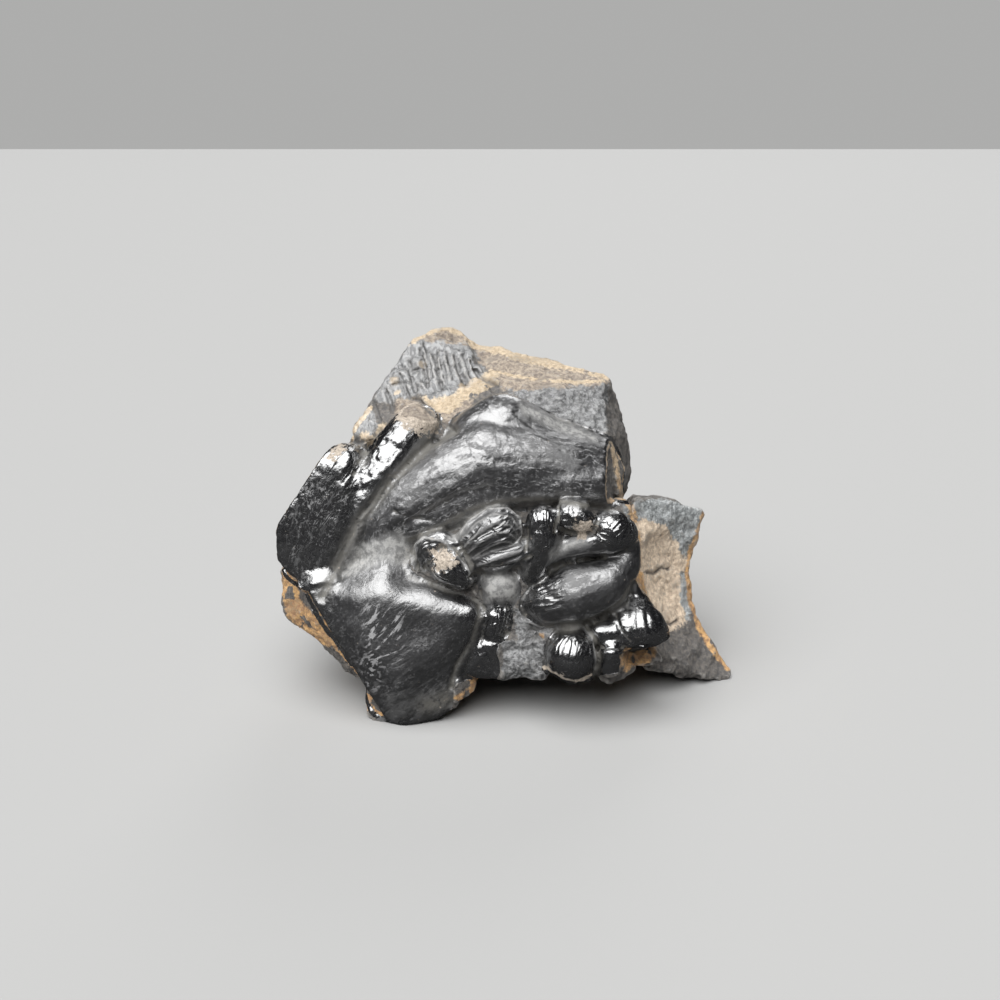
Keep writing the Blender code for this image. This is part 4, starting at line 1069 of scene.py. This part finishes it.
class Value:
    """What a shader node puts out. Each step that is reckoned with it adds a node to its tree."""

    def __init__(self, socket):
        self.socket = socket

    def then(self, kind, sockets, output, **settings):
        """What another node makes of it."""
        return Value(add(self.socket.id_data, kind, sockets, **settings).outputs[output])

    def __add__(self, other):
        return self.then("Math", {0: self, 1: other}, "Value", operation="ADD")

    def __sub__(self, other):
        return self.then("Math", {0: self, 1: other}, "Value", operation="SUBTRACT")

    def __mul__(self, other):
        return self.then("Math", {0: self, 1: other}, "Value", operation="MULTIPLY")

    def __abs__(self):
        return self.then("Math", {0: self}, "Value", operation="ABSOLUTE")

    def at_least(self, *others):
        """The highest of it and the others."""
        highest = self
        for other in others:
            highest = self.then("Math", {0: highest, 1: other}, "Value", operation="MAXIMUM")
        return highest

    def between(self, low, high):
        """0 below low, 1 above high, smooth between them."""
        sockets = {"Value": self, "From Min": low, "From Max": high}
        return self.then("MapRange", sockets, "Result", interpolation_type="SMOOTHSTEP")

    def spread(self, low, high):
        """A 0 to 1 value spread out to low and high."""
        return self.then("MapRange", {"Value": self, "To Min": low, "To Max": high}, "Result")

    def values(self, first, second):
        """The first value where it is 0, the second where it is 1."""
        return self.then("Mix", {0: self, 2: first, 3: second}, 0, data_type="FLOAT")

    def colours(self, first, second):
        """The first colour where it is 0, the second where it is 1."""
        return self.then("Mix", {0: self, 6: first, 7: second}, 2, data_type="RGBA")

    def part(self, axis):
        return self.then("SeparateXYZ", {"Vector": self}, axis)

    def stretched(self, *scale):
        """A place whose noise is drawn out along the axes with a low scale."""
        return self.then("Mapping", {"Vector": self, "Scale": scale}, "Vector")

    def turned(self, turn, aside=0):
        """A place whose noise is drawn out to strokes, turned by that many degrees on the face."""
        sockets = {
            "Vector": self, "Location": (aside, 0, 0), "Rotation": (0, 0, math.radians(turn)),
            "Scale": (STROKE_LENGTH, 1, 1),
        }
        return self.then("Mapping", sockets, "Vector", vector_type="TEXTURE")

    def noise(self, size, detail=4.0, roughness=0.6, distortion=0.0):
        """Fractal noise with lumps of about that size, in the place's own units."""
        sockets = {
            "Vector": self, "Scale": 1 / size, "Detail": detail, "Roughness": roughness,
            "Distortion": distortion,
        }
        return self.then("TexNoise", sockets, "Fac")


def give(node, sockets):
    """Link values to a node's sockets, or set them to plain numbers and colours."""
    for key, value in sockets.items():
        socket = node.inputs[key]
        if isinstance(value, Value):
            socket.id_data.links.new(value.socket, socket)
        else:
            socket.default_value = (*value, 1) if socket.type == "RGBA" else value


def add(tree, kind, sockets, **settings):
    """Add a shader node, with its settings, and link or set its sockets."""
    node = tree.nodes.new("ShaderNode" + kind)
    for name, value in settings.items():
        setattr(node, name, value)
    give(node, sockets)
    return node


def source(tree, kind, output, **settings):
    """A value that a node has of its own."""
    return Value(add(tree, kind, {}, **settings).outputs[output])


def new_group(name, inputs, outputs):
    """An empty shader group with named sockets of each kind, what it is given, and its other end."""
    group = bpy.data.node_groups.new(name, "ShaderNodeTree")
    for end, sockets in (("INPUT", inputs), ("OUTPUT", outputs)):
        for kind, names in sockets.items():
            for socket in names:
                group.interface.new_socket(socket, in_out=end, socket_type="NodeSocket" + kind)
    given = {socket.name: Value(socket) for socket in group.nodes.new("NodeGroupInput").outputs}
    return group, given, group.nodes.new("NodeGroupOutput")


def crust_finish():
    """Glossy black crust, with grey film, streaks along its fingers, and dust in its creases."""
    group, given, result = new_group(
        "Crust finish",
        {"Vector": ["Place", "Lay"],
         "Float": ["Worn", "Crease dust", "Dust", "Veined", "Wrinkled", "Combed", "Satin", "Streaked",
                   "Hollow", "Wide hollow"]},
        {"Color": ["Color"], "Float": ["Roughness", "Polish", "Height"]})
    place, lay, dust, satin = (given[name] for name in ("Place", "Lay", "Dust", "Satin"))
    cloudy = place.noise(7)
    leathery = place.noise(1.4, 2, 0.5, 0.8)
    flaky = place.noise(1.3, 5, 0.7)
    fine = place.noise(0.4, 3)
    mottled = fine.between(0.3, 0.7)
    streaky = lay.stretched(0.25, 1, 0.7).noise(1.3, 5, 0.65, 0.3)

    # The paddle's scratches: one way above, and another at its tail
    strokes = [place.turned(*way).noise(0.75, 2, 0.5, 0.3) for way in ((52, 0), (24, 40))]
    combed = place.part("Y").between(19, 15).values(*strokes).between(0.53, 0.59)
    combed = combed * given["Combed"].spread(0.06, 1.0) * flaky.between(0.4, 0.5)

    # Grey film, in specks all over and in veins and streaks along the folds
    veins = abs(lay.stretched(0.35, 1, 0.7).noise(1.7, 3, 0.6, 0.4) - 0.5).between(0.03, 0.006)
    veins = veins * flaky.between(0.42, 0.58)
    veins = veins.at_least(streaky.between(0.55, 0.7) * 0.5) * given["Veined"]
    specks = place.noise(0.7, 9, 0.82).between(0.56, 0.62) * given["Veined"].spread(0.3, 0.8)
    film = specks.at_least(veins) * cloudy.between(0.35, 0.6).spread(0.3, 1.0)
    film = film.at_least(combed * satin)

    # Dust, on raised rims partly a painted highlight; matt skin, dirt in the creases, rims worn through to
    # tan
    dust_and_ridge_highlight = dust.between(0.4, 1.0).at_least(given["Wide hollow"].between(0.2, 1.1) * 0.2)
    dust_and_ridge_highlight = dust_and_ridge_highlight * flaky.between(0.4, 0.6).spread(0.35, 1.0)
    matt = (dust + streaky.spread(-1.6, 1.6)).between(0.3, 0.6) * dust.between(0.0, 0.3)
    crease = given["Crease dust"].at_least(given["Hollow"].between(0.03, 0.16))
    crease = crease * flaky.between(0.32, 0.5)
    worn = (given["Worn"] + flaky.spread(-1.3, 1.3)).between(0.42, 0.6)

    colour = (film * 0.9).colours(mottled.colours(*BLACK), GREY_FILM)
    colour = dust_and_ridge_highlight.colours(colour, PALE_DUST_AND_RIDGE_HIGHLIGHT)
    colour = (crease * 0.9).colours(colour, CREASE_DIRT)
    colour = worn.colours(colour, mottled.colours(*TAN))
    gloss = cloudy.values(0.2, 0.3) + satin * 0.14
    for mark, roughness in ((matt, 0.7), (film, 0.6), (dust_and_ridge_highlight, 0.75), (crease, 0.8), (worn, 0.85)):
        gloss = mark.values(gloss, roughness)
    dull = film.at_least(dust_and_ridge_highlight, crease, worn, matt)

    flow = (lay.stretched(0.25, 1, 0.7).noise(2.2, 1.5, 0.45, 0.5) - 0.5) * 0.7 + streaky * 0.35
    creased = abs(lay.stretched(0.14, 1, 0.8).noise(0.95, 0, 0.5, 0.35) - 0.5) * -2.6 * given["Wrinkled"]
    give(result, {
        "Color": colour,
        "Roughness": gloss,
        "Polish": dull.spread(0.75, 0.0) * satin.spread(1.0, 0.4),
        "Height": leathery * 0.4 + fine * 0.14 + (flow + creased) * given["Streaked"],
    })
    return group


def rock_finish():
    """Broken rock: grey and brown, with ochre rinds, grainy and stained all over."""
    group, given, result = new_group(
        "Broken rock finish",
        {"Vector": ["Place"], "Float": ["Brown", "Grey", "Ochre", "Cracked", "Fibrous", "Hollow"]},
        {"Color": ["Color"], "Float": ["Roughness", "Height"]})
    place, hollow = given["Place"], given["Hollow"]
    cloudy = place.noise(6)
    grains = place.noise(0.8, 5, 0.7)
    fine = place.noise(0.3, 3, 0.7)
    fibres = place.turned(102).noise(1.1, 4, 0.7, 0.8)
    patchy = given["Fibrous"].values(grains, fibres)
    speckled = grains.between(0.36, 0.64)
    jagged = place.noise(2.2, 6, 0.7).spread(-0.9, 0.9)
    # The wing's paler colours: partly its own rock, partly painted light, as it faces away from the key
    wing = place.part("X").between(22, 30)
    high = (place.part("Y") + cloudy.spread(-15, 15)).between(35, 60)

    brown = speckled.colours(wing.colours(*DARK_BROWN), wing.colours(*LIGHT_BROWN))
    grey = patchy.between(0.42, 0.6).colours(wing.colours(*DARK_GREY), wing.colours(*LIGHT_GREY))
    ochre = high.colours(speckled.colours(*ORANGE), speckled.colours(*STRAW))
    is_brown = (given["Brown"] + jagged).between(0.36, 0.64)
    is_grey = (given["Grey"] - jagged).between(0.36, 0.64)
    is_ochre = (given["Ochre"] + grains.spread(-0.7, 0.7)).between(0.3, 0.7)
    # Ridges made paler: partly rubbed edges, partly a painted glint
    edge = hollow.between(-0.04, -0.16)
    stain = cloudy.between(0.5, 0.7) * grains.between(0.42, 0.56)
    # Painted shade: the rock's hollows and cracks are darkened
    deep = hollow.between(0.03, 0.2).at_least(given["Cracked"])
    colour = is_brown.colours(speckled.colours(*DARK_ROCK), brown)
    colour = is_grey.colours(colour, grey)
    colour = is_ochre.colours(colour, ochre)
    colour = (edge * 0.5).colours(colour, RUBBED_EDGE_AND_GLINT)
    colour = (stain * 0.6).colours(colour, STAIN)
    give(result, {
        "Color": (deep * 0.8).colours(colour, HOLLOW_AND_CRACK_SHADE),
        "Roughness": is_grey.values(0.82, 0.55),
        "Height": patchy * given["Fibrous"].spread(1.8, 0.9) + fine * 0.6,
    })
    return group


def finish_node(tree, group):
    """A finish's outputs, its inputs linked to what is stored on the stone's points by their names."""
    node = add(tree, "Group", {}, node_tree=group)
    for socket in node.inputs:
        kind = "Vector" if socket.type == "VECTOR" else "Fac"
        give(node, {socket.name: source(tree, "Attribute", kind, attribute_name=socket.name.lower())})
    return {socket.name: Value(socket) for socket in node.outputs}


def new_material(name):
    material = bpy.data.materials.new(name)
    material.use_nodes = True
    return material, material.node_tree


def stone_material():
    """Crust and broken rock in one, parted by the crust mask."""
    material, tree = new_material("Hematite stone")
    crust = finish_node(tree, crust_finish())
    rock = finish_node(tree, rock_finish())
    place = source(tree, "Attribute", "Vector", attribute_name="place")
    ragged = place.noise(0.7, 3).spread(-0.35, 0.35)
    whole = (source(tree, "Attribute", "Fac", attribute_name="crust") + ragged).between(0.42, 0.58)
    relief = {
        "Height": whole.values(rock["Height"], crust["Height"]), "Strength": BUMP_STRENGTH,
        "Distance": BUMP_HEIGHT,
    }
    bump = Value(add(tree, "Bump", relief).outputs["Normal"])
    give(tree.nodes["Principled BSDF"], {
        "Base Color": whole.colours(rock["Color"], crust["Color"]),
        "Roughness": whole.values(rock["Roughness"], crust["Roughness"]),
        "IOR": STONE_IOR,
        "Normal": bump,
        "Coat Weight": whole * crust["Polish"],
        "Coat IOR": COAT_IOR,
        "Coat Roughness": COAT_ROUGHNESS,
        "Coat Normal": bump,
    })
    return material


def floor_material():
    """Pale to look at, and dim where the stone's gloss mirrors it, so that the crust stays black."""
    material, tree = new_material("Pale floor")
    mirrored = source(tree, "LightPath", "Is Glossy Ray")
    give(tree.nodes["Principled BSDF"], {
        "Base Color": mirrored.colours(PALE, DIM), "Roughness": FLOOR_ROUGHNESS,
    })
    return material


def make_floor():
    bm = bmesh.new()
    bmesh.ops.create_grid(bm, x_segments=1, y_segments=1, size=FLOOR_REACH)
    floor = as_object("floor", bm)
    floor.data.materials.append(floor_material())
    return floor


def place_camera(middle):
    """The camera at the photograph's angle and distance."""
    camera = bpy.data.objects.new("camera", bpy.data.cameras.new("camera"))
    bpy.context.scene.collection.objects.link(camera)
    eye = FACE @ Vector(EYE) - middle
    aim = FACE @ Vector(AIM) - middle
    camera.location = eye
    camera.rotation_euler = (aim - eye).to_track_quat("-Z", "Y").to_euler()
    camera.data.sensor_width = SENSOR
    camera.data.lens = LENS
    camera.data.clip_start = NEAREST
    bpy.context.scene.camera = camera


def place_lights():
    """Large soft lights, and a dim sky that looks as pale as the floor behind the stone."""
    for name, (place, width, strength) in SOFT_LIGHTS.items():
        light = bpy.data.lights.new(name, "SUN")
        light.angle = width
        light.energy = strength
        lamp = bpy.data.objects.new(name, light)
        bpy.context.scene.collection.objects.link(lamp)
        lamp.location = place
        lamp.rotation_euler = Vector(place).to_track_quat("Z", "Y").to_euler()
    sky = bpy.data.worlds.new("Sky")
    sky.use_nodes = True
    seen = source(sky.node_tree, "LightPath", "Is Camera Ray")
    give(sky.node_tree.nodes["Background"], {"Color": seen.colours(SKY, PALE)})
    bpy.context.scene.world = sky
    bpy.context.scene.view_settings.view_transform = "Standard"


stone, middle = make_stone()
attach(stone, "root")
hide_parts("hematite")
make_floor()
place_camera(middle)
place_lights()
